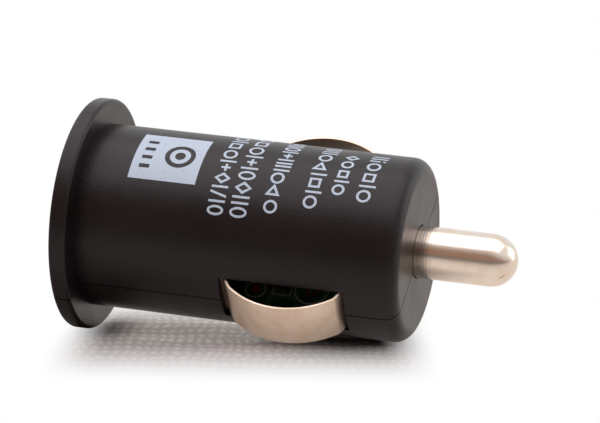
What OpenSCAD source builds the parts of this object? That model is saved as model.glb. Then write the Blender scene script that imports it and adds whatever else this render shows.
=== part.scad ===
// USB charger plug for a car's 12 V socket, standing on its flange with the contact tip up.
// The axis is Z. The seam between the two moulded shells is the plane Y = 0, and the side
// contacts spring out along X. All sizes are in millimetres.

/* [Flange] */
// Diameter of the flange
flange_d = 26.4; // [24:0.1:30]
// Thickness of the flange
flange_t = 2; // [1.9:0.1:3]
// Rounding of the flange's edges
flange_edge_r = 0.4; // [0.2:0.05:0.6]

/* [Barrel] */
// Diameter of the straight part of the barrel, which fills the socket
barrel_d = 20.8; // [20.4:0.1:21]
// Length of the straight part above the flange
straight_l = 15.5; // [12:0.5:16]
// How much narrower the barrel gets between the straight part and the nose
barrel_draft = 0.1; // [0:0.05:0.3]
// Length from the flange to the nose face
barrel_l = 37.2; // [37:0.1:40]
// Rounding round the nose
nose_r = 1.7; // [1:0.1:2]
// Wall of the barrel at the nose
wall_t = 1.6; // [1.4:0.05:1.7]
// Wall of the nose, which holds the contact tip
nose_wall_t = 1.4; // [1:0.1:1.8]

/* [Seam] */
// Thickness of the tongue along the seam
lip_t = 0.6; // [0.4:0.05:0.7]
// Height of the tongue above the seam
lip_h = 0.5; // [0.3:0.05:0.8]
// Clearance of the tongue in its groove
lip_gap = 0.08; // [0.05:0.01:0.12]
// Width of the fine groove that shows where the shells meet
groove_w = 0.14; // [0.08:0.02:0.2]
// Depth of that groove
groove_depth = 0.12; // [0.06:0.02:0.2]

/* [Face plate] */
// Diameter of the plate's visible disc
plate_d = 18; // [17.4:0.1:19]
// Thickness of the whole plate
plate_t = 1.2; // [1:0.1:1.3]
// Width of the rim that the shells trap
plate_rim_w = 0.6; // [0.4:0.1:0.8]
// Thickness of that rim
plate_rim_t = 0.6; // [0.4:0.1:0.8]
// Depth of the plate's face below the flange face
plate_recess = 0.3; // [0.2:0.05:0.5]
// Clearance of the plate in the shells
plate_gap = 0.08; // [0.05:0.01:0.15]

/* [Contact tip] */
// Diameter of the tip
pin_d = 5.9; // [5.4:0.1:6]
// Length of the tip outside the nose
pin_out = 11.2; // [9:0.1:12.5]
// Radial clearance of the tip in the nose
pin_gap = 0.1; // [0.05:0.01:0.15]
// Diameter of the collar that stops the tip
collar_d = 7.4; // [6.8:0.1:7.6]
// Thickness of the collar
collar_t = 1.4; // [1:0.1:1.6]
// Clearance between the collar and the nose wall at rest
collar_rest = 0.05; // [0.02:0.01:0.1]
// Diameter of the spigot inside the spring
spigot_d = 3; // [2.4:0.1:3.2]
// Length of the spigot
spigot_l = 2.2; // [1.5:0.1:2.4]
// How far the tip can be pushed in
pin_travel = 3; // [2:0.1:3.1]

/* [Tip spring] */
// Outer diameter of the spring
spring_d = 4.8; // [4.4:0.1:5]
// Diameter of the spring wire
spring_wire = 0.45; // [0.35:0.05:0.5]
// Number of turns
spring_turns = 6; // [5:1:7]
// Distance of the spring seat from the nose wall's inner face
spring_room = 7.7; // [7.5:0.1:8]

/* [Side contacts] */
// Width of the contact strip
strip_w = 5.8; // [4.5:0.1:6]
// Thickness of the contact strip
strip_t = 0.3; // [0.25:0.05:0.4]
// Radius of the bow's outer face
bow_r = 9.4; // [9:0.1:9.8]
// How far the bow's top stands from the plug's axis
bow_reach = 13; // [12.6:0.1:13.2]
// Half angle of the bow
bow_a = 40; // [38:1:42]
// Inner radius of the strip's small bends
bend_r = 0.4; // [0.3:0.05:0.5]
// How far the strip's free end runs under the wall
tail_l = 2.4; // [2:0.1:3]

/* [Ground ring] */
// Distance of the ring's edge from the cavity wall
ring_wall_gap = 1; // [0.8:0.1:1.2]
// How much narrower than the strip the ring's tabs are, on each side
ring_tab_side = 0.4; // [0.2:0.1:0.6]
// Width of the ring's leg
ring_leg_w = 2.4; // [2:0.1:2.6]

/* [Contact slots] */
// Height of the slot's lower edge above the flange
slot_up = 16.9; // [16.5:0.1:17.2]
// Length of the slot
slot_l = 14.4; // [14.2:0.1:14.6]
// Clearance on each side of the strip
slot_side_gap = 0.3; // [0.2:0.05:0.5]
// Wall left over the pocket where the strip's ends run
pocket_wall = 1.1; // [0.9:0.05:1.2]
// Clearance between the strip's ends and the pocket
pocket_gap = 0.15; // [0.1:0.01:0.2]

/* [USB socket] */
// Width of the metal shell
usb_w = 13.1; // [12.9:0.1:13.3]
// Height of the metal shell
usb_h = 5.7; // [5.6:0.1:5.9]
// Length of the metal shell
usb_l = 14; // [13:0.1:14.2]
// Thickness of the metal shell
usb_wall = 0.3; // [0.2:0.05:0.35]
// Corner rounding of the metal shell
usb_corner_r = 0.8; // [0.5:0.1:1]
// Depth of the socket's mouth below the flange face
usb_recess = 0.4; // [0.3:0.05:0.6]
// Distance of the tongue's sides from the metal shell
tongue_side = 0.7; // [0.6:0.05:0.85]
// Thickness of the tongue
tongue_t = 1.84; // [1.7:0.02:1.9]
// Clearance between the tongue and the shell's near wall
tongue_gap = 0.66; // [0.6:0.02:0.8]
// Depth of the tongue's end below the mouth
tongue_recess = 1.2; // [0.8:0.1:1.5]
// Length of the tongue's root block
block_l = 3.8; // [3:0.1:4.5]
// Distance between the inner two contacts' middles
contact_pitch_in = 2; // [1.9:0.1:2.1]
// Distance from an inner contact's middle to an outer one's
contact_pitch_out = 2.5; // [2.4:0.1:2.6]
// Width of a contact
contact_w = 1; // [0.8:0.05:1.1]
// Thickness of a contact
contact_t = 0.2; // [0.15:0.05:0.25]
// Distance of the shell's feet from the mouth
foot_up = 6.4; // [6:0.1:7]
// Length of the shell's feet
foot_l = 1.8; // [1.6:0.1:2]

/* [Circuit board] */
// Thickness of the board
board_t = 1.2; // [1:0.1:1.4]
// Distance of the board's edges from the cavity wall
board_gap = 0.29; // [0.2:0.01:0.4]
// Height of the socket's feet, which set the board's distance from the axis
foot_h = 0.35; // [0.3:0.05:0.5]
// Height of the board's lower edge above the flange face
board_up = 3; // [2.5:0.1:4]
// Diameter of the lead holes
lead_hole_d = 0.9; // [0.8:0.05:1]
// Diameter of the component leads
lead_d = 0.6; // [0.45:0.05:0.65]
// Diameter of the board's locating holes
peg_hole_d = 1.6; // [1.5:0.05:1.8]
// Distance of the locating holes from the board's middle
peg_x = 5.3; // [5:0.1:5.5]
// Width of the spring's bracket
seat_w = 6.4; // [6:0.1:6.6]

/* [Inductor] */
// Diameter of the drum core's flanges
drum_d = 7.4; // [6.5:0.1:7.6]
// Height of the drum core
drum_h = 8; // [7.8:0.1:8.4]
// Thickness of the drum's flanges
drum_rim_t = 1.1; // [0.8:0.1:1.3]
// Diameter of the drum's waist
drum_core_d = 3.4; // [3:0.1:4]
// Diameter of the winding wire
coil_wire = 0.55; // [0.5:0.05:0.6]

/* [Capacitors] */
// Diameter of an electrolytic capacitor's can
can_d = 5; // [4:0.1:5]
// Height of a can
can_h = 8; // [7.8:0.1:8.4]

/* [Chip parts] */
// Width of the converter chip's body
ic_w = 3.9; // [3.8:0.05:4]
// Length of the converter chip's body
ic_l = 4.9; // [4.8:0.05:5]
// Height of the converter chip's body
ic_h = 1.4; // [1.3:0.05:1.5]
// Width over the converter chip's leads
ic_span = 6; // [5.8:0.05:6.2]
// Distance between the converter chip's leads
ic_pitch = 1.27; // [1.2:0.01:1.3]
// Width of a lead of the converter chip
ic_lead_w = 0.4; // [0.3:0.05:0.5]
// Length of the diode's body
diode_l = 4; // [3.8:0.1:4.2]
// Width of the diode's body
diode_w = 2.6; // [2.4:0.1:2.7]
// Height of the diode's body
diode_h = 2; // [1.8:0.1:2.2]
// Width of the fuse
fuse_w = 1.6; // [1.4:0.1:1.7]
// Length of the fuse
fuse_l = 3.2; // [3:0.1:3.3]
// Height of the fuse
fuse_h = 0.6; // [0.5:0.05:0.7]
// Width of a chip resistor
res_w = 0.8; // [0.7:0.05:0.9]
// Length of a chip resistor
res_l = 1.6; // [1.5:0.05:1.7]
// Height of a chip resistor
res_h = 0.45; // [0.4:0.05:0.5]
// Distance of each resistor beside the converter chip from the chip's middle
res_step = 1.2; // [1.15:0.05:1.4]
// Distance of the outer chip parts from the board's side edges
chip_edge = 1.4; // [1.2:0.1:1.6]
// Distance of the resistor at the front from the drum's middle
res_up = 3.5; // [3:0.1:4]
// Width of a chip capacitor
cap_w = 1.25; // [1.1:0.05:1.3]
// Length of a chip capacitor
cap_l = 2; // [1.8:0.1:2.1]
// Height of a chip capacitor
cap_h = 0.8; // [0.7:0.05:0.9]

/* [Indicator] */
// Diameter of the lamp's lens
lens_d = 3; // [2.8:0.1:3.1]
// Diameter of the lamp's rim
lens_rim_d = 3.7; // [3.5:0.1:3.8]
// Distance of the lamp from the plug's axis
lamp_y = 6.4; // [6.3:0.05:6.5]
// Length of the lens
lens_l = 4.4; // [4:0.1:4.8]
// Thickness of the lamp's rim
lens_rim_t = 0.9; // [0.8:0.1:1]
// Distance between the lamp's leads
lamp_pitch = 2.54; // [2.4:0.02:2.6]
// Thickness of the lamp's leads
lamp_lead = 0.5; // [0.4:0.05:0.6]
// Radial clearance of the lens in the face plate
lens_gap = 0.1; // [0.05:0.01:0.2]

/* [Hidden] */
$fn = 96;
eps = 0.01;
// Small real gaps: between inner parts, and where a part rests on a rib
air = 0.3;
touch = 0.05;
// Thickness of the ribs inside the shells, and how far they run into the wall
rib_t = 1;
root = 0.3;

// Heights of the housing, from the flange face
nose_z = flange_t + barrel_l;
nose_in_z = nose_z - nose_wall_t;
straight_z = flange_t + straight_l;
nose_d = barrel_d - barrel_draft;
slot_z0 = flange_t + slot_up;
slot_z1 = slot_z0 + slot_l;
cavity_r = nose_d / 2 - wall_t;

// Places of the face plate
plate_z0 = plate_recess;
plate_z1 = plate_z0 + plate_t;
plate_rim_z = plate_z1 - plate_rim_t;
plate_rim_r = plate_d / 2 + plate_rim_w;

// Places along the contact tip
collar_z1 = nose_in_z - collar_rest;
collar_z0 = collar_z1 - collar_t;
tip_z = nose_z + pin_out;
seat_z = nose_in_z - spring_room;
seat_t = 0.5;
guide_r = collar_d / 2 + air;
guide_wall = 0.9;
guide_z0 = collar_z0 - pin_travel - air;
guide_h = nose_in_z + touch - guide_z0;

// Places of the USB socket and the board
usb_z0 = usb_recess;
usb_z1 = usb_z0 + usb_l;
usb_in_w = usb_w - 2 * usb_wall;
usb_in_h = usb_h - 2 * usb_wall;
tongue_w = usb_in_w - 2 * tongue_side;
tongue_y0 = -usb_in_h / 2 + tongue_gap;
tongue_y1 = tongue_y0 + tongue_t;
block_z0 = usb_z1 - block_l;
board_y0 = usb_h / 2 + foot_h;
board_y1 = board_y0 + board_t;
board_w = 2 * (sqrt(pow(cavity_r, 2) - pow(board_y1, 2)) - board_gap);
board_z0 = board_up;
board_z1 = guide_z0 - air;
contact_x = [for (side = [-1, 1], step = [0, contact_pitch_out]) side * (contact_pitch_in / 2 + step)];
contact_leg_z = usb_z1 + 0.6;
leg_z = usb_z0 + foot_up;
leg_l = foot_l;
leg_y1 = board_y1 + 0.5;

// Places of the parts on the board, as [x, z]
drum_at = [-0.8, usb_z1 + 1.9 + drum_d / 2];
can_z = drum_at[1] + drum_d / 2 + 0.4 + can_d / 2;
input_can_at = [-3.4, can_z];
output_can_at = [1.9, can_z];
peg_z = usb_z1 + 2.6;
peg_at = [for (side = [-1, 1]) [side * peg_x, peg_z]];
peg_shoulder_d = peg_hole_d + 0.8;
cap_z = peg_z + peg_shoulder_d / 2 + air + cap_l / 2;
lead_pitch = 2;
drum_pitch = 6;
lead_out = 0.6;
chip_z = (drum_at[1] + can_z) / 2;
res_x = board_w / 2 - chip_edge - res_w / 2;
cap_x = board_w / 2 - chip_edge - cap_w / 2;
ring_x = 5.4;

// The contact strip's path, as [distance from the axis, height]
bow_mid_r = bow_r - strip_t / 2;
bow_c = [bow_reach - bow_r, (slot_z0 + slot_z1) / 2 + 0.2];
pocket_x = barrel_d / 2 - pocket_wall - (barrel_d - nose_d) / 2;
tail_x = pocket_x - pocket_gap - strip_t / 2;
strip_z1 = nose_in_z - 1;
strip_z0 = slot_z0 - tail_l;
bow_foot_z0 = slot_z0 + 0.25;
bow_foot_z1 = slot_z1 - 0.3;
bow_steps = 28;

// Ground ring that links the side contacts to the board
ring_t = 0.4;
ring_z0 = strip_z1 + 0.15;
ring_z1 = ring_z0 + ring_t;
ring_in_r = guide_r + guide_wall + air;
ring_out_r = cavity_r - ring_wall_gap;
ring_tab_w = strip_w - 2 * ring_tab_side;

shell_colour = "#2E2A2B";
plate_colour = "#1E1C1D";
nickel_colour = "#C9B8A6";
steel_colour = "#B9B7B2";
gold_colour = "#C8A04A";
board_colour = "#1F5A37";
white_colour = "#E6E3DC";
ferrite_colour = "#3A3837";
copper_colour = "#B5652F";
sleeve_colour = "#23293A";
chip_colour = "#232323";
lens_colour = "#C8342B";

// Box from its lowest corner to its highest corner
module block(low, high) {
    translate(low) cube(high - low);
}

// Cylinder along Y at [x, z], from y0 to y1
module post(at, y0, y1, d) {
    translate([at[0], y0, at[1]]) rotate([-90, 0, 0]) cylinder(h = y1 - y0, d = d, $fn = 48);
}

// Rectangle with round corners, centred, whose corners stay true arcs
module round_rect(w, h, r) {
    square([w - 2 * r, h], center = true);
    square([w, h - 2 * r], center = true);
    for (x = [-1, 1], y = [-1, 1])
        translate([x * (w / 2 - r), y * (h / 2 - r)]) circle(r = r, $fn = 32);
}

// Outline of one side of the housing, turned round the axis, or the same set in by a depth
module housing_profile(inset = 0) {
    barrel_r = barrel_d / 2 - inset;
    nose_side_r = nose_d / 2 - inset;
    flange_r = flange_d / 2 - inset;
    edge_r = flange_edge_r - inset;
    edge_x = flange_r - edge_r;
    round_r = nose_r - inset;
    round_x = nose_side_r - round_r;
    round_z = nose_z - nose_r;
    translate([0, inset]) square([edge_x, flange_t - 2 * inset]);
    translate([0, flange_edge_r]) square([flange_r, flange_t - 2 * flange_edge_r]);
    for (z = [flange_edge_r, flange_t - flange_edge_r])
        translate([edge_x, z]) circle(r = edge_r, $fn = 32);
    translate([0, inset]) square([barrel_r, straight_z - inset]);
    polygon([
        [0, straight_z], [barrel_r, straight_z], [nose_side_r, round_z],
        [round_x, nose_z - inset], [0, nose_z - inset]
    ]);
    translate([round_x, round_z]) circle(r = round_r, $fn = 64);
}

// Room inside the housing: the plate's seat, the cavity and the hole for the tip
module cavity() {
    translate([0, 0, -eps]) cylinder(h = plate_rim_z - plate_gap + eps, r = plate_d / 2 + plate_gap);
    translate([0, 0, plate_rim_z - plate_gap - eps])
        cylinder(h = plate_rim_t + 2 * plate_gap + eps, r = plate_rim_r + plate_gap);
    translate([0, 0, plate_z1]) cylinder(h = nose_in_z - plate_z1, r = cavity_r);
    translate([0, 0, nose_in_z - eps]) cylinder(h = nose_wall_t + 1, r = pin_d / 2 + pin_gap);
}

// Slots that the side contacts stand out of, with pockets for the strips' ends
module contact_cuts() {
    slot_w = strip_w + 2 * slot_side_gap;
    for (side = [-1, 1]) scale([side, 1, 1]) {
        block([cavity_r / 2, -slot_w / 2, slot_z0], [barrel_d, slot_w / 2, slot_z1]);
        block([cavity_r / 2, -slot_w / 2, strip_z0 - air], [pocket_x, slot_w / 2, nose_in_z]);
    }
}

// Housing as if moulded in one piece, before it is parted along the seam
module housing_blank() {
    difference() {
        rotate_extrude() housing_profile();
        cavity();
        contact_cuts();
    }
}

// Half of space on one side of the seam
module seam_side(side) {
    size = 2 * nose_z;
    translate([-size / 2, side > 0 ? 0 : -size, -eps]) cube([size, size, size]);
}

// Fine groove in the outside of the housing, along the seam
module seam_groove() {
    difference() {
        cube([2 * flange_d, groove_w, 3 * nose_z], center = true);
        rotate_extrude() housing_profile(groove_depth);
    }
}

// Half of the housing, on one side of the seam
module housing_half(side) {
    difference() {
        intersection() {
            housing_blank();
            seam_side(side);
        }
        seam_groove();
    }
}

// Tongues that stand on the front shell's seam, grown by a clearance for their grooves
module seam_lips(gap) {
    lip_x = cavity_r + (barrel_d / 2 - cavity_r - lip_t) / 2;
    spans = [[flange_t + 1, strip_z0 - air - 1], [slot_z1 + 0.8, nose_z - nose_r - 0.6]];
    for (side = [-1, 1], span = spans) scale([side, 1, 1])
        block([lip_x - gap, -eps, span[0] - gap], [lip_x + lip_t + gap, lip_h + gap, span[1] + gap]);
}

// Rib that stands on the cavity wall and ends on the flat y = reach
module wall_rib(side, reach, x_half, z0, z1) {
    intersection() {
        translate([0, 0, z0]) cylinder(h = z1 - z0, r = cavity_r + root);
        block([-x_half, side > 0 ? reach : -barrel_d, z0], [x_half, side > 0 ? barrel_d : reach, z1]);
    }
}

// Half of the sleeve that guides the tip's collar
module guide_sleeve(side) {
    intersection() {
        translate([0, 0, guide_z0]) difference() {
            cylinder(h = guide_h, r = guide_r + guide_wall);
            translate([0, 0, -1]) cylinder(h = guide_h + 2, r = guide_r);
        }
        seam_side(side);
    }
}

// Pads on the nose wall that carry the ground ring
module ring_pads(side) {
    pad_w = 1.8;
    for (a = [-55, 55])
        rotate([0, 0, side * 90 + a])
            block([ring_in_r, -pad_w / 2, ring_z1], [ring_out_r, pad_w / 2, nose_in_z + touch]);
}

module front_shell() {
    rib_pitch = 4.2;
    rib_x = 5;
    web_z = [for (i = [1:3]) usb_z0 + i * rib_pitch];
    seat_rib_z = seat_z - seat_t - touch;
    post_w = 0.55;
    post_x1 = board_w / 2 + 0.2;
    post_t = 1.4;
    color(shell_colour) {
        housing_half(-1);
        seam_lips(0);
        guide_sleeve(-1);
        ring_pads(-1);
        for (z = web_z) wall_rib(-1, -usb_h / 2 - touch, rib_x, z, z + rib_t);
        wall_rib(-1, board_y0 - can_h - air, seat_w / 2, seat_rib_z - rib_t, seat_rib_z);
        for (side = [-1, 1], z = [web_z[0], web_z[2]]) scale([side, 1, 1])
            intersection() {
                block([post_x1 - post_w, -cavity_r, z], [post_x1, board_y0 - touch, z + post_t]);
                cylinder(h = nose_z, r = cavity_r + root);
            }
    }
}

module rear_shell() {
    rail_t = 0.8;
    rail_x0 = board_w / 2 - 0.9;
    rail_spans = [[board_z0 + 0.4, leg_z - air], [leg_z + leg_l + air, board_z1 - 1]];
    peg_y1 = sqrt(pow(cavity_r, 2) - pow(peg_x, 2)) + root;
    color(shell_colour) {
        difference() {
            housing_half(1);
            seam_lips(lip_gap);
        }
        guide_sleeve(1);
        ring_pads(1);
        for (side = [-1, 1], span = rail_spans) scale([side, 1, 1])
            intersection() {
                block([rail_x0, board_y1 + touch, span[0]], [rail_x0 + rail_t, cavity_r, span[1]]);
                cylinder(h = nose_z, r = cavity_r + root);
            }
        for (at = peg_at) {
            post(at, board_y0 + air, peg_y1, peg_hole_d - 0.2);
            post(at, board_y1 + touch, peg_y1, peg_shoulder_d);
        }
    }
}

module face_plate() {
    color(plate_colour) difference() {
        union() {
            translate([0, 0, plate_z0]) cylinder(h = plate_t, d = plate_d);
            translate([0, 0, plate_rim_z]) cylinder(h = plate_rim_t, r = plate_rim_r);
        }
        translate([0, 0, -1]) linear_extrude(plate_z1 + 2)
            round_rect(usb_w + 2 * plate_gap, usb_h + 2 * plate_gap, usb_corner_r);
        translate([0, lamp_y, -1]) cylinder(h = plate_z1 + 2, r = lens_d / 2 + lens_gap, $fn = 48);
    }
}

module tip_pin() {
    dome_r = pin_d / 2;
    color(nickel_colour) {
        translate([0, 0, collar_z1 - eps]) cylinder(h = tip_z - dome_r - collar_z1 + eps, d = pin_d);
        intersection() {
            translate([0, 0, tip_z - dome_r]) sphere(r = dome_r);
            translate([-dome_r, -dome_r, tip_z - dome_r - eps]) cube(pin_d);
        }
        translate([0, 0, collar_z0]) cylinder(h = collar_t, d = collar_d);
        translate([0, 0, collar_z0 - spigot_l]) cylinder(h = spigot_l + eps, d = spigot_d);
    }
}

// Height of the spring wire's middle after t turns: closed end turns, then an even pitch
function spring_lift(t, length, turns, wire) =
    let (closed = wire * 1.12, open = (length - wire - 2 * closed) / (turns - 2))
    wire / 2 + (t < 1 ? closed * t : t > turns - 1
        ? length - wire - closed * (turns - t) : closed + open * (t - 1));

// Wire wound into a compression spring that stands on z0
module compression_spring(d, wire, turns, z0, length) {
    sides = 8;
    per_turn = 18;
    rings = turns * per_turn;
    mid_r = (d - wire) / 2;
    points = [
        for (i = [0:rings], k = [0:sides - 1])
            let (a = 360 * i / per_turn, b = 360 * k / sides, r = mid_r + wire / 2 * cos(b))
            [r * cos(a), r * sin(a), z0 + spring_lift(i / per_turn, length, turns, wire) + wire / 2 * sin(b)]
    ];
    walls = [
        for (i = [0:rings - 1], k = [0:sides - 1])
            let (n = (k + 1) % sides)
            [i * sides + k, i * sides + n, (i + 1) * sides + n, (i + 1) * sides + k]
    ];
    ends = [[for (k = [sides - 1:-1:0]) k], [for (k = [0:sides - 1]) rings * sides + k]];
    polyhedron(points, concat(walls, ends), convexity = 8);
}

module tip_spring() {
    length = collar_z0 - seat_z - 2 * touch;
    color(steel_colour) compression_spring(spring_d, spring_wire, spring_turns, seat_z + touch, length);
}

// Stamped bracket soldered to the board: a plate across the axis, with a boss for the spring
module spring_seat() {
    plate_y0 = board_y0 - can_h - air - 1.2;
    foot_x = 2;
    boss_h = 0.5;
    boss_d = spring_d - 2 * spring_wire - 1;
    color(steel_colour) {
        block([-seat_w / 2, plate_y0, seat_z - seat_t], [seat_w / 2, board_y0, seat_z]);
        block([-foot_x, board_y0 - seat_t, seat_z - eps], [foot_x, board_y0, board_z1 - 0.4]);
        translate([0, 0, seat_z - eps]) cylinder(h = boss_h, d = boss_d, $fn = 48);
    }
}

// Points of an arc round c from angle a0 to a1, in the strip's plane
function arc(c, r, a0, a1, n) = [for (i = [0:n]) let (a = a0 + (a1 - a0) * i / n) c + r * [cos(a), sin(a)]];
// Points of a bend of radius r that rounds the corner b between a and c
function bend(a, b, c, r, n) =
    let (
        u = (a - b) / norm(a - b), v = (c - b) / norm(c - b),
        half = acos(u * v) / 2, mid = (u + v) / norm(u + v),
        centre = b + mid * r / sin(half),
        start = b + u * r / tan(half) - centre, finish = b + v * r / tan(half) - centre,
        a0 = atan2(start[1], start[0]), turn = atan2(finish[1], finish[0]) - a0,
        sweep = turn > 180 ? turn - 360 : turn < -180 ? turn + 360 : turn
    )
    arc(centre, r, a0, a0 + sweep, n);
// Unit normal of a path at point i
function path_normal(p, i) =
    let (d = p[min(i + 1, len(p) - 1)] - p[max(i - 1, 0)]) [d[1], -d[0]] / norm(d);
// Closed outline of a strip of thickness t along a path
function strip_outline(p, t) = concat(
    [for (i = [0:len(p) - 1]) p[i] + path_normal(p, i) * t / 2],
    [for (i = [len(p) - 1:-1:0]) p[i] - path_normal(p, i) * t / 2]
);

// Middle line of the contact strip, from its free end to its anchored end at the nose
function strip_path() =
    let (
        mid_bend = bend_r + strip_t / 2,
        bow = arc(bow_c, bow_mid_r, -bow_a, bow_a, bow_steps),
        free_end = [tail_x - 0.5, strip_z0],
        free_knee = [tail_x, strip_z0 + 0.9],
        free_foot = [tail_x, bow_foot_z0],
        held_foot = [tail_x, bow_foot_z1],
        held_end = [tail_x, strip_z1]
    )
    concat(
        [free_end],
        bend(free_end, free_knee, free_foot, mid_bend, 3),
        bend(free_knee, free_foot, bow[0], mid_bend, 5),
        bow,
        bend(bow[bow_steps], held_foot, held_end, mid_bend, 5),
        [held_end]
    );

// Bowed strip of spring metal that presses on the socket's wall, for the side at +X
module contact_strip() {
    translate([0, strip_w / 2, 0]) rotate([90, 0, 0]) linear_extrude(strip_w)
        polygon(strip_outline(strip_path(), strip_t));
}

module side_contact_left() {
    color(nickel_colour) mirror([1, 0, 0]) contact_strip();
}

module side_contact_right() {
    color(nickel_colour) contact_strip();
}

// Stamped ring that both strips bear on, with a leg soldered to the board's back
module ground_ring() {
    tab_x = pocket_x - pocket_gap;
    leg_x = ring_leg_w / 2;
    leg_y0 = ring_in_r + 0.1;
    step_z0 = board_z1 - 1.2;
    foot_z0 = board_z1 - 2.4;
    color(nickel_colour) {
        translate([0, 0, ring_z0]) linear_extrude(ring_t) difference() {
            union() {
                circle(r = ring_out_r);
                square([2 * tab_x, ring_tab_w], center = true);
            }
            circle(r = ring_in_r);
        }
        block([-leg_x, leg_y0, step_z0], [leg_x, leg_y0 + ring_t, ring_z0 + eps]);
        block([-leg_x, board_y1, step_z0], [leg_x, leg_y0 + ring_t, step_z0 + ring_t]);
        block([-leg_x, board_y1, foot_z0], [leg_x, board_y1 + ring_t, step_z0 + ring_t]);
    }
}

// Lead positions of a two-lead part that stands on the board
function lead_pair(at, pitch) = [for (side = [-1, 1]) [at[0] + side * pitch / 2, at[1]]];

module circuit_board() {
    leads = concat(lead_pair(drum_at, drum_pitch), lead_pair(input_can_at, lead_pitch),
        lead_pair(output_can_at, lead_pitch), [for (x = contact_x) [x, contact_leg_z]]);
    slot_gap = 0.2;
    slot_x = usb_w / 2 - usb_wall - slot_gap;
    slot_z = [leg_z - slot_gap, leg_z + leg_l + slot_gap];
    color(board_colour) difference() {
        block([-board_w / 2, board_y0, board_z0], [board_w / 2, board_y1, board_z1]);
        for (at = leads) post(at, board_y0 - 1, board_y1 + 1, lead_hole_d);
        for (at = peg_at) post(at, board_y0 - 1, board_y1 + 1, peg_hole_d);
        for (side = [-1, 1]) scale([side, 1, 1])
            block([slot_x, board_y0 - 1, slot_z[0]], [board_w, board_y1 + 1, slot_z[1]]);
    }
}

module usb_shell() {
    window_w = 2.2;
    window_l = 5;
    window_x = 3.4;
    window_z = usb_z0 + 3.2 + window_l / 2;
    finger_w = 1.5;
    color(steel_colour) difference() {
        union() {
            translate([0, 0, usb_z0]) linear_extrude(usb_l) difference() {
                round_rect(usb_w, usb_h, usb_corner_r);
                round_rect(usb_in_w, usb_in_h, usb_corner_r - usb_wall);
            }
            for (side = [-1, 1]) scale([side, 1, 1])
                block([usb_w / 2 - usb_wall, 0, leg_z], [usb_w / 2, leg_y1, leg_z + leg_l]);
        }
        for (x = [-window_x, window_x], y = [-usb_h / 2, usb_h / 2])
            translate([x, y, window_z]) difference() {
                cube([window_w, 2, window_l], center = true);
                translate([0, 0, 0.6]) cube([finger_w, 3, window_l], center = true);
            }
        block([-usb_in_w / 2 + 0.7, 0, block_z0 + 0.4], [usb_in_w / 2 - 0.7, usb_h, usb_z1 + 1]);
    }
}

module usb_insulator() {
    block_w = usb_in_w - 2 * touch;
    block_h = usb_in_h - 2 * touch;
    foot_x = block_w / 2 - 0.8;
    mouth_z = usb_z0 + tongue_recess;
    color(white_colour) difference() {
        union() {
            block([-tongue_w / 2, tongue_y0, mouth_z], [tongue_w / 2, tongue_y1, block_z0 + eps]);
            translate([0, 0, block_z0]) linear_extrude(block_l)
                round_rect(block_w, block_h, usb_corner_r - usb_wall);
            block([-foot_x, 0, block_z0 + 0.6], [foot_x, board_y0, usb_z1]);
        }
        for (x = contact_x)
            block([x - contact_w / 2 - touch, tongue_y1 - contact_t - touch, mouth_z + 0.5],
                [x + contact_w / 2 + touch, tongue_y1 + 1, usb_z1 + 1]);
    }
}

module usb_contacts() {
    y1 = tongue_y1 - touch;
    y0 = y1 - contact_t;
    leg_z0 = contact_leg_z - contact_t / 2;
    color(gold_colour) for (x = contact_x) {
        block([x - contact_w / 2, y0, usb_z0 + tongue_recess + 0.55],
            [x + contact_w / 2, y1, leg_z0 + contact_t]);
        block([x - lead_d / 2, y0, leg_z0], [x + lead_d / 2, board_y1 + lead_out, leg_z0 + contact_t]);
    }
}

// Drum of ferrite, whose flange on the board has two slots for the wire's ends
module inductor_core() {
    slot_w = coil_wire + 2 * touch;
    slot_x0 = drum_pitch / 2 - slot_w / 2;
    color(ferrite_colour) difference() {
        union() {
            post(drum_at, board_y0 - drum_rim_t, board_y0, drum_d);
            post(drum_at, board_y0 - drum_h, board_y0 - drum_h + drum_rim_t, drum_d);
            post(drum_at, board_y0 - drum_h + eps, board_y0 - eps, drum_core_d);
        }
        translate([drum_at[0], board_y0, drum_at[1]]) for (side = [-1, 1]) scale([side, 1, 1])
            block([slot_x0, -drum_rim_t - eps, -slot_w / 2], [drum_d, eps, slot_w / 2]);
    }
}

// Enamelled wire wound round the drum's waist, with its two ends led through the slots into the board
module inductor_winding() {
    room = drum_h - 2 * drum_rim_t - 2 * touch;
    turns = floor(room / coil_wire);
    first = drum_rim_t + touch + (room - turns * coil_wire) / 2;
    outer_r = drum_d / 2 - 0.35;
    top_r = outer_r - coil_wire / 2;
    inner_r = drum_core_d / 2 + touch;
    color(copper_colour) {
        translate([drum_at[0], board_y0, drum_at[1]]) rotate([90, 0, 0]) rotate_extrude() union() {
            translate([inner_r, first]) square([top_r - inner_r, turns * coil_wire]);
            for (i = [0:turns - 1])
                translate([top_r, first + (i + 0.5) * coil_wire]) circle(d = coil_wire, $fn = 24);
        }
        for (at = lead_pair(drum_at, drum_pitch))
            post(at, board_y0 - first - coil_wire, board_y1 + lead_out, coil_wire);
    }
}

// Electrolytic capacitor that stands on the board, with its crimped can and vented top
module electrolytic(at, d, h) {
    edge_r = 0.3;
    crimp_r = 0.4;
    crimp_y = 1.6;
    top_step = 0.15;
    top_rim = 0.7;
    translate([at[0], board_y0, at[1]]) rotate([90, 0, 0]) rotate_extrude() difference() {
        union() {
            square([d / 2 - edge_r, h]);
            translate([0, edge_r]) square([d / 2, h - 2 * edge_r]);
            for (y = [edge_r, h - edge_r]) translate([d / 2 - edge_r, y]) circle(r = edge_r, $fn = 32);
        }
        translate([d / 2 + 0.1, crimp_y]) circle(r = crimp_r, $fn = 32);
        translate([0, h - top_step]) square([d / 2 - top_rim, 1]);
    }
    for (lead = lead_pair(at, lead_pitch)) post(lead, board_y0 - eps, board_y1 + lead_out, lead_d);
}

module input_capacitor() {
    color(sleeve_colour) electrolytic(input_can_at, can_d, can_h);
}

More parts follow.
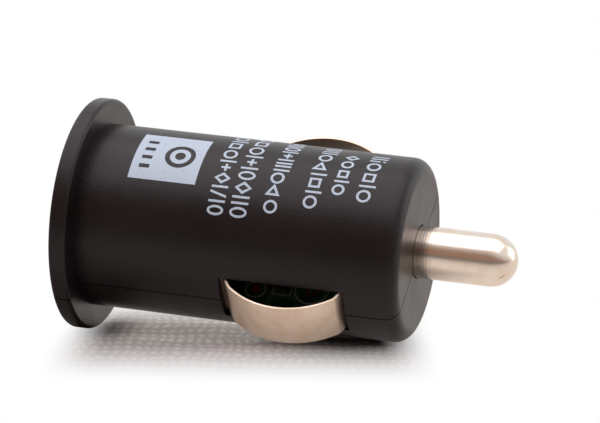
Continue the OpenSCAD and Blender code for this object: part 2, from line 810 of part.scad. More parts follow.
module output_capacitor() {
    color(sleeve_colour) electrolytic(output_can_at, can_d, can_h);
}

// Block on the board's back, centred at [x, z], whose size is [width, height, length]
module back_part(at, size, lift) {
    block([at[0] - size[0] / 2, board_y1 + lift, at[1] - size[2] / 2],
        [at[0] + size[0] / 2, board_y1 + lift + size[1], at[1] + size[2] / 2]);
}

// Gull-wing lead of the converter chip, at height z, on the side at +X
module ic_lead(z) {
    lead_t = 0.2;
    knee = 0.6;
    shoulder = ic_h / 2;
    z0 = z - ic_lead_w / 2;
    z1 = z + ic_lead_w / 2;
    block([ic_w / 2 - eps, board_y1 + shoulder, z0], [ic_w / 2 + knee, board_y1 + shoulder + lead_t, z1]);
    block([ic_w / 2 + knee - lead_t, board_y1, z0], [ic_w / 2 + knee, board_y1 + shoulder + lead_t, z1]);
    block([ic_w / 2 + knee - lead_t, board_y1, z0], [ic_span / 2, board_y1 + lead_t, z1]);
}

module regulator_ic() {
    color(chip_colour) {
        back_part([0, chip_z], [ic_w, ic_h, ic_l], 0.1);
        for (side = [-1, 1], i = [-1.5:1:1.5]) scale([side, 1, 1]) ic_lead(chip_z + i * ic_pitch);
    }
}

module diode() {
    at = [0, contact_leg_z + lead_d + diode_w / 2 + 2 * air];
    tab_l = 1;
    tab_t = 0.3;
    color(chip_colour) {
        back_part(at, [diode_l, diode_h, diode_w], tab_t / 2);
        for (side = [-1, 1])
            back_part([at[0] + side * (diode_l / 2 + 0.1), at[1]], [tab_l, tab_t, diode_w / 2], 0);
    }
}

// Flat chip part with a metal cap round each end, from its lowest corner
module chip_part(size) {
    cap_step = 0.03;
    cap_len = size[2] / 5;
    translate([cap_step, 0, 0]) cube([size[0] - 2 * cap_step, size[1] - cap_step, size[2]]);
    for (z = [0, size[2] - cap_len]) translate([0, 0, z]) cube([size[0], size[1], cap_len]);
}

// Flat chip parts on the board's back, each centred at [x, z]
module back_chips(places, size) {
    for (at = places) translate([at[0] - size[0] / 2, board_y1, at[1] - size[2] / 2]) chip_part(size);
}

module input_fuse() {
    at = [ring_leg_w + fuse_w / 2 - 0.2, can_z + fuse_l];
    color(white_colour) back_chips([at], [fuse_w, fuse_h, fuse_l]);
}

module chip_resistors() {
    size = [res_w, res_h, res_l];
    color(chip_colour) {
        back_chips([
            [-res_x, chip_z - res_step], [-res_x, chip_z + res_step], [res_x, chip_z - res_step],
            [-ring_leg_w - res_w / 2, can_z + can_d / 2]
        ], size);
        translate([ring_x - res_w / 2, board_y0 - res_h, drum_at[1] + res_up]) chip_part(size);
    }
}

module chip_capacitors() {
    color("#B08A5E") back_chips([
        [cap_x, chip_z + res_step], [-cap_x, cap_z], [cap_x, cap_z]
    ], [cap_w, cap_h, cap_l]);
}

module indicator_led() {
    lens_r = lens_d / 2;
    tip = plate_z0 + 0.1;
    rim_z = tip + lens_l;
    lead_z = rim_z + lens_rim_t;
    lead_run = 2.3;
    half = lamp_lead / 2;
    color(lens_colour) translate([0, lamp_y, 0]) {
        intersection() {
            translate([0, 0, tip + lens_r]) sphere(r = lens_r, $fn = 48);
            translate([-lens_r, -lens_r, tip - 1]) cube([lens_d, lens_d, lens_r + 1]);
        }
        translate([0, 0, tip + lens_r - eps]) cylinder(h = lens_l - lens_r + 2 * eps, r = lens_r, $fn = 48);
        translate([0, 0, rim_z]) cylinder(h = lens_rim_t, d = lens_rim_d, $fn = 48);
    }
    color(steel_colour) for (x = [-lamp_pitch / 2, lamp_pitch / 2]) {
        block([x - half, lamp_y - half, lead_z - eps], [x + half, lamp_y + half, lead_z + lead_run]);
        block([x - half, board_y1, lead_z + lead_run - lamp_lead], [x + half, lamp_y, lead_z + lead_run]);
    }
}

front_shell();
rear_shell();
face_plate();
tip_pin();
tip_spring();
spring_seat();
side_contact_left();
side_contact_right();
ground_ring();
circuit_board();
usb_shell();
usb_insulator();
usb_contacts();
inductor_core();
inductor_winding();
input_capacitor();
output_capacitor();
regulator_ic();
diode();
input_fuse();
chip_resistors();
chip_capacitors();
indicator_led();
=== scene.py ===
from math import cos, pi, radians, sin

import bmesh
import bpy
from mathutils import Matrix, Vector


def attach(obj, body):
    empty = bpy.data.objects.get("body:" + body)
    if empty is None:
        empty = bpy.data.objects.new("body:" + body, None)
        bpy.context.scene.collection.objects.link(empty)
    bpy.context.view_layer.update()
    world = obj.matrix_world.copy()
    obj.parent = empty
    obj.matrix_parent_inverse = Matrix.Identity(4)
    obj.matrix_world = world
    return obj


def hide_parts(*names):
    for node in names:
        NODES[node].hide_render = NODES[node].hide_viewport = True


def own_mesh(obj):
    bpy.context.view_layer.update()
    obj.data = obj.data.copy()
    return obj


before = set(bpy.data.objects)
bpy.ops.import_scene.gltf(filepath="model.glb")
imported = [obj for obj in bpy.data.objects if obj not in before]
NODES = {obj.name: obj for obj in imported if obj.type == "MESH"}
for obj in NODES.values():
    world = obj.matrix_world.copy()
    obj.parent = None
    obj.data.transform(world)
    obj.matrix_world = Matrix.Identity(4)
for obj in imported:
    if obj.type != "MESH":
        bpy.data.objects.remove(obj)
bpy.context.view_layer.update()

bl_info = {
    "name": "Car USB charger plug",
    "version": (1, 0, 0),
    "blender": (4, 5, 0),
    "location": "View3D > Sidebar > Plug",
    "description": "Dresses the packed solids of a car USB charger plug",
    "category": "Object",
}

MM = 0.001

# Sizes of the solids that the added pieces meet, in millimetres: the barrel keeps its radius up to
# STRAIGHT_Z, and narrows from there to the nose
BARREL_R = 10.4
NOSE_R = 10.35
STRAIGHT_Z = 17.5
NOSE_Z = 37.5
BOARD_FRONT = 3.2
BOARD_BACK = 4.4
CAN_TOP_Y = -4.45
CAN_STRIPE_Z = 28.3
LAMP_LEADS_Z = 5.7

# Nick in the dome of the tip, in millimetres: its middle, and the direction in which it runs
NICK_AT = Vector((2.34, -0.18, 49.21))
NICK_ALONG = Vector((-0.591, -0.276, 0.758)).normalized()


def linear(code):
    """Linear RGBA of an sRGB hex colour."""
    parts = [int(code[i:i + 2], 16) / 255 for i in (1, 3, 5)]
    return [c / 12.92 if c <= 0.04045 else ((c + 0.055) / 1.055) ** 2.4 for c in parts] + [1.0]


def add(tree, kind, links=None, **settings):
    """Adds a shader node of a kind. Links fills its inputs, by name or number, with sockets or values."""
    node = tree.nodes.new("ShaderNode" + kind)
    for name, value in settings.items():
        setattr(node, name, value)
    for key, value in (links or {}).items():
        if isinstance(value, bpy.types.NodeSocket):
            tree.links.new(value, node.inputs[key])
        else:
            node.inputs[key].default_value = value
    return node


def per_mm(size):
    """Texture scale whose features are size millimetres across."""
    return 1 / (size * MM)


def wave_mm(pitch):
    """Scale of a wave texture whose bands are pitch millimetres apart."""
    return pi / 10 / (pitch * MM)


def start_material(name):
    """Empty material, its tree and the object coordinates."""
    material = bpy.data.materials.new(name)
    material.use_nodes = True
    tree = material.node_tree
    tree.nodes.clear()
    return material, tree, add(tree, "TexCoord").outputs["Object"]


def end_material(tree, links):
    """Adds the surface shader and the output."""
    surface = add(tree, "BsdfPrincipled", links).outputs[0]
    add(tree, "OutputMaterial", {"Surface": surface})


def moulded_plastic(name, colour, rough, grain=0.2, dents=0.8):
    """Black ABS from a spark-eroded mould: an even, silky grain that softens each reflection, and specks of
    dust. The real grain is about 0.05 mm, and is drawn coarser so that it shows."""
    material, tree, coords = start_material(name)
    fine = add(tree, "TexNoise", {"Vector": coords, "Scale": per_mm(grain), "Detail": 2.0}).outputs[0]
    cloud = add(tree, "TexNoise", {"Vector": coords, "Scale": per_mm(4.5), "Detail": 4.0}).outputs[0]
    dust = add(tree, "TexVoronoi", {"Vector": coords, "Scale": per_mm(1.3)}).outputs["Distance"]
    speck = add(tree, "MapRange", {0: dust, 1: 0.03, 2: 0.06, 3: 0.5, 4: 0.0}).outputs[0]
    tone = add(tree, "MapRange", {0: cloud, 1: 0.3, 2: 0.7, 3: 0.85, 4: 1.12}).outputs[0]
    shade = add(tree, "Mix", {0: 1.0, 6: linear(colour), 7: tone}, data_type="RGBA",
                blend_type="MULTIPLY").outputs[2]
    dusty = add(tree, "Mix", {0: speck, 6: shade, 7: linear("#4A4645")}, data_type="RGBA").outputs[2]
    gloss = add(tree, "MapRange", {0: cloud, 1: 0.25, 2: 0.75, 3: rough - 0.04, 4: rough + 0.05}).outputs[0]
    wide = add(tree, "Bump", {"Height": cloud, "Strength": 0.12, "Distance": 0.08 * MM}).outputs[0]
    bump = add(tree, "Bump", {"Height": fine, "Strength": dents, "Distance": 0.03 * MM,
                              "Normal": wide}).outputs[0]
    end_material(tree, {"Base Color": dusty, "Roughness": gloss, "IOR": 1.5, "Specular IOR Level": 0.26,
                        "Normal": bump})
    return material


def printed_ink(name, colour):
    """Pale pad-printing ink: a thin matt film with pinholes where the plastic's grain stands up. The
    pinholes are drawn coarser than real ones so that they show."""
    material, tree, coords = start_material(name)
    grain = add(tree, "TexNoise", {"Vector": coords, "Scale": per_mm(0.16), "Detail": 3.0}).outputs[0]
    holes = add(tree, "MapRange", {0: grain, 1: 0.26, 2: 0.42, 3: 0.55, 4: 0.0}).outputs[0]
    film = add(tree, "Mix", {0: holes, 6: linear(colour), 7: linear("#5C606B")}, data_type="RGBA").outputs[2]
    bump = add(tree, "Bump", {"Height": grain, "Strength": 0.3, "Distance": 0.008 * MM}).outputs[0]
    end_material(tree, {"Base Color": film, "Roughness": 0.55, "IOR": 1.48, "Normal": bump})
    return material


def turned_nickel(name, colour):
    """Bright nickel on turned brass: fine rings from the lathe, faint warm stains from handling and one
    nick. The real rings are about 0.1 mm apart, and are drawn coarser so that they show."""
    material, tree, coords = start_material(name)
    rings = add(tree, "TexWave", {"Vector": coords, "Scale": wave_mm(0.35), "Distortion": 1.2, "Detail": 2.0,
                                  "Detail Scale": 1.5}, wave_type="BANDS",
                bands_direction="Z").outputs["Fac"]
    stain = add(tree, "TexNoise", {"Vector": coords, "Scale": per_mm(2.2), "Detail": 5.0}).outputs[0]
    warm = add(tree, "MapRange", {0: stain, 1: 0.42, 2: 0.72, 3: 0.0, 4: 0.5}).outputs[0]
    metal = add(tree, "Mix", {0: warm, 6: linear(colour), 7: linear("#D6BEA4")}, data_type="RGBA").outputs[2]
    gloss = add(tree, "MapRange", {0: stain, 1: 0.3, 2: 0.75, 3: 0.17, 4: 0.24}).outputs[0]
    away = add(tree, "VectorMath", {0: coords, 1: NICK_AT * MM}, operation="SUBTRACT").outputs[0]
    cross = add(tree, "VectorMath", {0: away, 1: NICK_ALONG}, operation="CROSS_PRODUCT").outputs[0]
    wide = add(tree, "VectorMath", {0: cross}, operation="LENGTH").outputs["Value"]
    far = add(tree, "VectorMath", {0: away}, operation="LENGTH").outputs["Value"]
    cut = add(tree, "MapRange", {0: wide, 1: 0.03 * MM, 2: 0.07 * MM, 3: 1.0, 4: 0.0}).outputs[0]
    short = add(tree, "MapRange", {0: far, 1: 0.24 * MM, 2: 0.36 * MM, 3: 0.8, 4: 0.0}).outputs[0]
    nick = add(tree, "Math", {0: cut, 1: short}, operation="MULTIPLY").outputs[0]
    metal = add(tree, "Mix", {0: nick, 6: metal, 7: linear("#3A2A22")}, data_type="RGBA").outputs[2]
    bump = add(tree, "Bump", {"Height": rings, "Strength": 0.12, "Distance": 0.01 * MM}).outputs[0]
    end_material(tree, {"Base Color": metal, "Metallic": 1.0, "Roughness": gloss, "Normal": bump})
    return material


def rolled_nickel(name, colour):
    """Nickel-plated spring strip: lines along the rolling direction and a satin, cloudy sheen. The real
    lines are finer than 0.1 mm, and are drawn coarser so that they show."""
    material, tree, coords = start_material(name)
    along = add(tree, "Mapping", {"Vector": coords, "Scale": (0.15, 1.0, 0.15)}).outputs[0]
    lines = add(tree, "TexNoise", {"Vector": along, "Scale": per_mm(0.12), "Detail": 3.0}).outputs[0]
    cloud = add(tree, "TexNoise", {"Vector": coords, "Scale": per_mm(2.0), "Detail": 5.0}).outputs[0]
    warm = add(tree, "MapRange", {0: cloud, 1: 0.38, 2: 0.7, 3: 0.0, 4: 0.6}).outputs[0]
    metal = add(tree, "Mix", {0: warm, 6: linear(colour), 7: linear("#D8BCA4")}, data_type="RGBA").outputs[2]
    gloss = add(tree, "MapRange", {0: cloud, 1: 0.3, 2: 0.75, 3: 0.34, 4: 0.46}).outputs[0]
    bump = add(tree, "Bump", {"Height": lines, "Strength": 0.25, "Distance": 0.006 * MM}).outputs[0]
    end_material(tree, {"Base Color": metal, "Metallic": 0.75, "Roughness": gloss, "Normal": bump})
    return material


def plated_sheet(name, colour, rough, grain=0.3):
    """Plated steel or wire: a bright even metal with a slight drawn or rolled grain, drawn coarser than the
    real one so that it shows."""
    material, tree, coords = start_material(name)
    fine = add(tree, "TexNoise", {"Vector": coords, "Scale": per_mm(grain), "Detail": 4.0}).outputs[0]
    gloss = add(tree, "MapRange", {0: fine, 1: 0.3, 2: 0.7, 3: rough - 0.05, 4: rough + 0.08}).outputs[0]
    tone = add(tree, "MapRange", {0: fine, 1: 0.25, 2: 0.75, 3: 0.9, 4: 1.05}).outputs[0]
    metal = add(tree, "Mix", {0: 1.0, 6: linear(colour), 7: tone}, data_type="RGBA",
                blend_type="MULTIPLY").outputs[2]
    bump = add(tree, "Bump", {"Height": fine, "Strength": 0.15, "Distance": 0.01 * MM}).outputs[0]
    end_material(tree, {"Base Color": metal, "Metallic": 1.0, "Roughness": gloss, "Normal": bump})
    return material


def solid_finish(name, colour, second, rough, ior, grain=0.4, bumps=0.15):
    """Fired, pressed or moulded body without metal: two close tones in a fine, dull grain, drawn coarser
    than the real one so that it shows."""
    material, tree, coords = start_material(name)
    fine = add(tree, "TexNoise", {"Vector": coords, "Scale": per_mm(grain), "Detail": 4.0}).outputs[0]
    mixed = add(tree, "MapRange", {0: fine, 1: 0.35, 2: 0.65}).outputs[0]
    tone = add(tree, "Mix", {0: mixed, 6: linear(colour), 7: linear(second)}, data_type="RGBA").outputs[2]
    bump = add(tree, "Bump", {"Height": fine, "Strength": bumps, "Distance": 0.015 * MM}).outputs[0]
    end_material(tree, {"Base Color": tone, "Roughness": rough, "IOR": ior, "Normal": bump})
    return material


def solder_mask(name, colour):
    """Green solder mask over glass cloth: the weave shows as a faint grid, and copper tracks lie under it.
    The real threads are about 0.5 mm apart, and are drawn coarser so that they show."""
    material, tree, coords = start_material(name)
    weave_x = add(tree, "TexWave", {"Vector": coords, "Scale": wave_mm(0.8)},
                  bands_direction="X").outputs["Fac"]
    weave_z = add(tree, "TexWave", {"Vector": coords, "Scale": wave_mm(0.8)},
                  bands_direction="Z").outputs["Fac"]
    weave = add(tree, "Math", {0: weave_x, 1: weave_z}, operation="MULTIPLY").outputs[0]
    tracks = add(tree, "TexVoronoi", {"Vector": coords, "Scale": per_mm(3.0)}, distance="CHEBYCHEV",
                 feature="F1").outputs["Distance"]
    copper = add(tree, "MapRange", {0: tracks, 1: 0.42, 2: 0.44, 3: 0.0, 4: 1.0}).outputs[0]
    mask = add(tree, "Mix", {0: copper, 6: linear(colour), 7: linear("#1E4A2C")},
               data_type="RGBA").outputs[2]
    bump = add(tree, "Bump", {"Height": weave, "Strength": 0.1, "Distance": 0.02 * MM}).outputs[0]
    step = add(tree, "Bump", {"Height": copper, "Strength": 0.4, "Distance": 0.03 * MM,
                              "Normal": bump}).outputs[0]
    end_material(tree, {"Base Color": mask, "Roughness": 0.28, "IOR": 1.52, "Normal": step})
    return material


def wound_copper(name, colour):
    """Enamelled copper wire: glossy amber over copper, with painted shade, a darker copper, between the
    turns. The turns are drawn a little coarser than real ones so that they show."""
    material, tree, coords = start_material(name)
    # Bands of the turns: the darker copper between them is painted shade in the grooves
    turns = add(tree, "TexWave", {"Vector": coords, "Scale": wave_mm(0.55)},
                bands_direction="Y").outputs["Fac"]
    tone = add(tree, "Mix", {0: turns, 6: linear("#7A3B18"), 7: linear(colour)}, data_type="RGBA").outputs[2]
    fine = add(tree, "TexNoise", {"Vector": coords, "Scale": per_mm(0.5), "Detail": 3.0}).outputs[0]
    gloss = add(tree, "MapRange", {0: fine, 3: 0.18, 4: 0.34}).outputs[0]
    end_material(tree, {"Base Color": tone, "Metallic": 0.9, "Roughness": gloss, "Coat Weight": 0.6,
                        "Coat Roughness": 0.1})
    return material


def can_finish(name, colour):
    """Shrink sleeve on an aluminium can: glossy film, a pale stripe for the minus lead, bare metal on
    top."""
    material, tree, coords = start_material(name)
    place = add(tree, "SeparateXYZ", {0: coords}).outputs
    top = add(tree, "Math", {0: place[1], 1: CAN_TOP_Y * MM}, operation="LESS_THAN").outputs[0]
    stripe = add(tree, "Math", {0: place[2], 1: CAN_STRIPE_Z * MM}, operation="GREATER_THAN").outputs[0]
    fine = add(tree, "TexNoise", {"Vector": coords, "Scale": per_mm(0.9), "Detail": 4.0}).outputs[0]
    sleeve = add(tree, "Mix", {0: stripe, 6: linear(colour), 7: linear("#B9BCC4")},
                 data_type="RGBA").outputs[2]
    tone = add(tree, "Mix", {0: top, 6: sleeve, 7: linear("#BFC0C2")}, data_type="RGBA").outputs[2]
    gloss = add(tree, "MapRange", {0: fine, 3: 0.22, 4: 0.4}).outputs[0]
    bump = add(tree, "Bump", {"Height": fine, "Strength": 0.15, "Distance": 0.03 * MM}).outputs[0]
    end_material(tree, {"Base Color": tone, "Metallic": top, "Roughness": gloss, "Normal": bump})
    return material


def tinted_epoxy(name, colour):
    """Cast epoxy of a lamp: clear red with a soft milky heart. Its leads are tinned steel."""
    material, tree, coords = start_material(name)
    fine = add(tree, "TexNoise", {"Vector": coords, "Scale": per_mm(1.5), "Detail": 2.0}).outputs[0]
    tone = add(tree, "Mix", {0: fine, 6: linear(colour), 7: linear("#8E1F1A")}, data_type="RGBA").outputs[2]
    height = add(tree, "SeparateXYZ", {0: coords}).outputs["Z"]
    lead = add(tree, "MapRange", {0: height, 1: LAMP_LEADS_Z * MM, 2: (LAMP_LEADS_Z + 0.01) * MM}).outputs[0]
    tone = add(tree, "Mix", {0: lead, 6: tone, 7: linear("#B9B6B0")}, data_type="RGBA").outputs[2]
    rough = add(tree, "MapRange", {0: lead, 3: 0.08, 4: 0.35}).outputs[0]
    clear = add(tree, "MapRange", {0: lead, 3: 0.55, 4: 0.0}).outputs[0]
    end_material(tree, {"Base Color": tone, "Metallic": lead, "Roughness": rough, "IOR": 1.54,
                        "Transmission Weight": clear})
    return material


def finish_piece(bm, name, material, body, sharp=40):
    """Turns a bmesh into a piece that rides on a body."""
    bmesh.ops.remove_doubles(bm, verts=bm.verts, dist=0.0005 * MM)
    bmesh.ops.recalc_face_normals(bm, faces=bm.faces)
    mesh = bpy.data.meshes.new(name)
    bm.to_mesh(mesh)
    bm.free()
    for polygon in mesh.polygons:
        polygon.use_smooth = True
    mesh.set_sharp_from_angle(angle=radians(sharp))
    mesh.materials.append(material)
    piece = bpy.data.objects.new(name, mesh)
    bpy.context.scene.collection.objects.link(piece)
    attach(piece, body)
    return piece


def dress(material, *names):
    """Gives CAD nodes their finish."""
    for name in names:
        for place in NODES[name].material_slots:
            place.material = material


# Print: shapes are made flat, as [millimetres round the barrel, height], then laid on the barrel


def flat_bar(bm, x0, x1, z0, z1, slant=0.0):
    """Flat bar whose upper end leans by slant."""
    corners = [(x0, z0), (x1, z0), (x1 + slant, z1), (x0 + slant, z1)]
    bm.faces.new([bm.verts.new((x, 0, z)) for x, z in corners])


def flat_ring(bm, x, z, rx, rz, stroke, sides=28, turn=0.0):
    """Flat ring, or with few sides the outline of a square, triangle or diamond."""
    outer = bmesh.ops.create_circle(bm, segments=sides, radius=1.0)["verts"]
    inner = bmesh.ops.create_circle(bm, segments=sides, radius=1.0)["verts"]
    reach = 1 / cos(pi / sides)
    for verts, dx, dz in ((outer, rx, rz), (inner, rx - stroke * reach, rz - stroke * reach)):
        bmesh.ops.rotate(bm, verts=verts, cent=(0, 0, 0), matrix=Matrix.Rotation(radians(turn), 3, "Z"))
        for vert in verts:
            vert.co = Vector((x + vert.co.x * dx, 0, z + vert.co.y * dz))
    edges = list({edge for vert in outer + inner for edge in vert.link_edges})
    bmesh.ops.bridge_loops(bm, edges=edges)


def flat_disc(bm, x, z, r, sides=20):
    """Flat round spot."""
    verts = bmesh.ops.create_circle(bm, cap_ends=True, segments=sides, radius=r)["verts"]
    for vert in verts:
        vert.co = Vector((x + vert.co.x, 0, z + vert.co.y))


# Marks of the print, as shares of their height: half the width of a tall mark, half the height of a low
# mark, the width of an open mark, and how far the ends of a cross lie from its middle
TALL_HALF = 0.31
LOW_HALF = 0.43
OPEN_WIDTH = 0.5
CROSS_SIDE = 0.275
CROSS_UP = 0.28
SLASH_LEAN = 0.3


def print_mark(bm, kind, x, z0, height, stroke):
    """One simple mark of the print, whose left side is at x. Returns its width."""
    z1 = z0 + height
    mid = z0 + height / 2
    half = height * TALL_HALF
    low = height * LOW_HALF
    if kind == "I":
        flat_bar(bm, x, x + stroke, z0, z1)
        return stroke
    if kind == "i":
        flat_bar(bm, x, x + stroke, z0, z0 + height * 0.62)
        flat_disc(bm, x + stroke / 2, z0 + height * 0.86, stroke * 0.6)
        return stroke
    if kind == "O":
        flat_ring(bm, x + half, mid, half, height / 2, stroke)
        return 2 * half
    if kind == "o":
        flat_ring(bm, x + low, z0 + low, low, low, stroke)
        return 2 * low
    if kind == "q":
        flat_ring(bm, x + low, z0 + low, low * 1.2, low * 1.2, stroke, sides=4, turn=45)
        return 2 * low
    if kind == "v":
        flat_ring(bm, x + low, z0 + low * 0.9, low * 1.25, low * 1.25, stroke, sides=3, turn=90)
        return 2 * low
    if kind == "D":
        flat_ring(bm, x + half * 1.15, mid, half * 1.3, height / 2, stroke, sides=4)
        return 2.3 * half
    if kind == "/":
        flat_bar(bm, x, x + stroke, z0, z1, slant=height * SLASH_LEAN)
        return stroke + height * SLASH_LEAN
    if kind == "+":
        side = height * CROSS_SIDE
        up = height * CROSS_UP
        left = x + side - stroke / 2
        flat_bar(bm, x, x + 2 * side, mid - stroke / 2, mid + stroke / 2)
        flat_bar(bm, left, left + stroke, mid + stroke / 2, mid + up)
        flat_bar(bm, left, left + stroke, mid - up, mid - stroke / 2)
        return 2 * side
    if kind == "H":
        wide = height * OPEN_WIDTH
        flat_bar(bm, x, x + stroke, z0, z1)
        flat_bar(bm, x + wide - stroke, x + wide, z0, z1)
        return wide
    raise ValueError(kind)


# Middle of the print, in degrees round the barrel
PRINT_MID = -98.5

# Rows of the print: heights of the row, its ends in degrees round the barrel, and its marks
PRINT_ROWS = [
    (17.15, 19.05, -140, -57, "OoIqoI+DI/IO"),
    (19.75, 21.75, -140, -57, "IoqoI+IODHO"),
    (23.45, 25.30, -136, -62, "DHOI+HHovo"),
    (27.75, 29.60, -130, -68, "OHovIqIo"),
    (30.60, 32.30, -118, -79, "DoqIo"),
    (33.50, 35.40, -122, -76, "HioqIo"),
]

# Panel of the print: its heights, and its ends in degrees round the barrel
PANEL = (7.3, 15.2, -115.4, -74.8)

# Bare plastic in the panel, in millimetres: a ring round a dot, and a row of bars, given by their left sides
PANEL_RING_UP = 5.2
PANEL_RING_R = 1.75
PANEL_RING_LINE = 0.55
PANEL_DOT_R = 0.6
PANEL_BARS = [-2.2, -0.9, 0.4, 1.7]
PANEL_BAR_W = 0.5
PANEL_BAR_UP = (0.9, 2.1)

# Cuts that let flat shapes follow the barrel, in millimetres from the print's middle
CUTS = [k * 0.5 for k in range(-20, 21)]


def barrel_radius(z):
    """Radius of the barrel at height z, in millimetres."""
    share = min(max((z - STRAIGHT_Z) / (NOSE_Z - STRAIGHT_Z), 0), 1)
    return BARREL_R + (NOSE_R - BARREL_R) * share


def lay_on_barrel(bm, rise, thick):
    """Cuts flat shapes into narrow strips, lays them round the barrel and gives them a thickness."""
    for cut in CUTS:
        bmesh.ops.bisect_plane(bm, geom=bm.verts[:] + bm.edges[:] + bm.faces[:], dist=1e-6,
                               plane_co=(cut, 0, 0), plane_no=(1, 0, 0))
    for vert in bm.verts:
        angle = radians(PRINT_MID) + vert.co.x / BARREL_R
        r = (barrel_radius(vert.co.z) + rise) * MM
        vert.co = Vector((r * cos(angle), r * sin(angle), vert.co.z * MM))
    bmesh.ops.recalc_face_normals(bm, faces=bm.faces)
    for face in bm.faces:
        middle = face.calc_center_median()
        if face.normal.dot(Vector((middle.x, middle.y, 0))) < 0:
            face.normal_flip()
    bmesh.ops.solidify(bm, geom=bm.faces[:], thickness=thick * MM)


def arc_mm(angle):
    """Distance round the barrel from the print's middle to an angle in degrees."""
    return radians(angle - PRINT_MID) * BARREL_R


def make_print_rows(sizes, ink):
    """Rows of marks, each row spread evenly between its ends."""
    bm = bmesh.new()
    stroke = sizes.stroke / MM
    for z0, z1, a0, a1, marks in PRINT_ROWS:
        trial = bmesh.new()
        widths = [print_mark(trial, kind, 0, 0, z1 - z0, stroke) for kind in marks]
        trial.free()
        room = arc_mm(a1) - arc_mm(a0)
        gap = (room - sum(widths)) / (len(marks) - 1)
        x = arc_mm(a0)
        for kind, width in zip(marks, widths):
            print_mark(bm, kind, x, z0, z1 - z0, stroke)
            x += width + gap
    lay_on_barrel(bm, sizes.ink_rise / MM, sizes.ink_thick / MM)
    finish_piece(bm, "print_rows", ink, "housing")


def make_print_panel(sizes, ink, plastic):
    """Solid panel of ink, with a ring, a dot and bars in the colour of the plastic."""
    z0, z1, a0, a1 = PANEL
    bm = bmesh.new()
    flat_bar(bm, arc_mm(a0), arc_mm(a1), z0, z1)
    lay_on_barrel(bm, sizes.ink_rise / MM, sizes.ink_thick / MM)
    finish_piece(bm, "print_panel", ink, "housing")

    bm = bmesh.new()
    mid = (arc_mm(a0) + arc_mm(a1)) / 2
    flat_ring(bm, mid, z0 + PANEL_RING_UP, PANEL_RING_R, PANEL_RING_R, PANEL_RING_LINE, sides=36)
    flat_disc(bm, mid, z0 + PANEL_RING_UP, PANEL_DOT_R)
    for left in PANEL_BARS:
        flat_bar(bm, mid + left, mid + left + PANEL_BAR_W, z0 + PANEL_BAR_UP[0], z0 + PANEL_BAR_UP[1])
    lay_on_barrel(bm, (sizes.ink_rise + sizes.ink_thick) / MM, sizes.ink_thick / MM / 2)
    finish_piece(bm, "print_panel_marks", plastic, "housing")


# Side contact: its strip is swept from a foot behind the wall, round a heel, over the bow and back along the
# wall. Sizes are in millimetres, and turns in degrees
STRIP_W = 5.8
STRIP_T = 0.3
STRIP_EDGE_R = 0.08
BEND_R = 0.55
FOOT_X = 8.45
FOOT_Z = 16.5
FOOT_RUN = 0.9
FOOT_LEAN = 29.05
HEEL_RUN = 1.29
RISE_LEAN = 55.26
RISE_RUN = 1.685
BOW_R = 9.25
BOW_TURN = 80
FALL_TURN = 26.5
RUN_X = 8.95
STRIP_TOP_Z = 36.8


def section_ring(bm, width, depth, edge_r, segments):
    """Edges of a rounded rectangle in the XY plane, width along X and depth along Y, in millimetres."""
    made = bmesh.ops.create_grid(bm, x_segments=1, y_segments=1, size=0.5)["verts"]
    bmesh.ops.scale(bm, verts=made, vec=(width, depth, 1))
    bmesh.ops.bevel(bm, geom=made, offset=edge_r, affect="VERTICES", segments=segments, profile=0.5,
                    material=-1)
    bmesh.ops.delete(bm, geom=bm.faces[:], context="FACES_ONLY")
    return bm.edges[:]


def ring_verts(edges):
    """Vertices of a ring of edges, each one once."""
    return list({vert for edge in edges for vert in edge.verts})


def sweep_strip(bm, ring, place, moves):
    """Sweeps a ring through ("run", millimetres), ("turn", radius, degrees) and ("reach", x, radius), which
    runs and bends back to the heading of Z at that x. Place is [x, z, heading from Z towards X] and follows
    the ring."""
    for move in moves:
        x, z, heading = place
        a = radians(heading)
        if move[0] == "reach":
            target, radius = move[1:]
            run = (x - target - radius * (1 - cos(a))) / sin(-a)
            ring = sweep_strip(bm, ring, place, [("run", run), ("turn", radius, -heading)])
        elif move[0] == "run":
            made = bmesh.ops.extrude_edge_only(bm, edges=ring)["geom"]
            ring = [item for item in made if isinstance(item, bmesh.types.BMEdge)]
            shift = Vector((sin(a), 0, cos(a))) * move[1]
            bmesh.ops.translate(bm, verts=ring_verts(ring), vec=shift)
            place[0], place[1] = x + shift.x, z + shift.z
        else:
            radius, turn = move[1:]
            side = 1 if turn > 0 else -1
            centre = Vector((x + side * radius * cos(a), 0, z - side * radius * sin(a)))
            steps = max(3, round(abs(turn) * radius ** 0.5 / 5))
            made = bmesh.ops.spin(bm, geom=ring, cent=centre, axis=(0, 1, 0), angle=radians(turn),
                                  steps=steps)
            ring = [item for item in made["geom_last"] if isinstance(item, bmesh.types.BMEdge)]
            b = radians(heading + turn)
            place[0] = centre.x - side * radius * cos(b)
            place[1] = centre.z + side * radius * sin(b)
            place[2] = heading + turn
    return ring


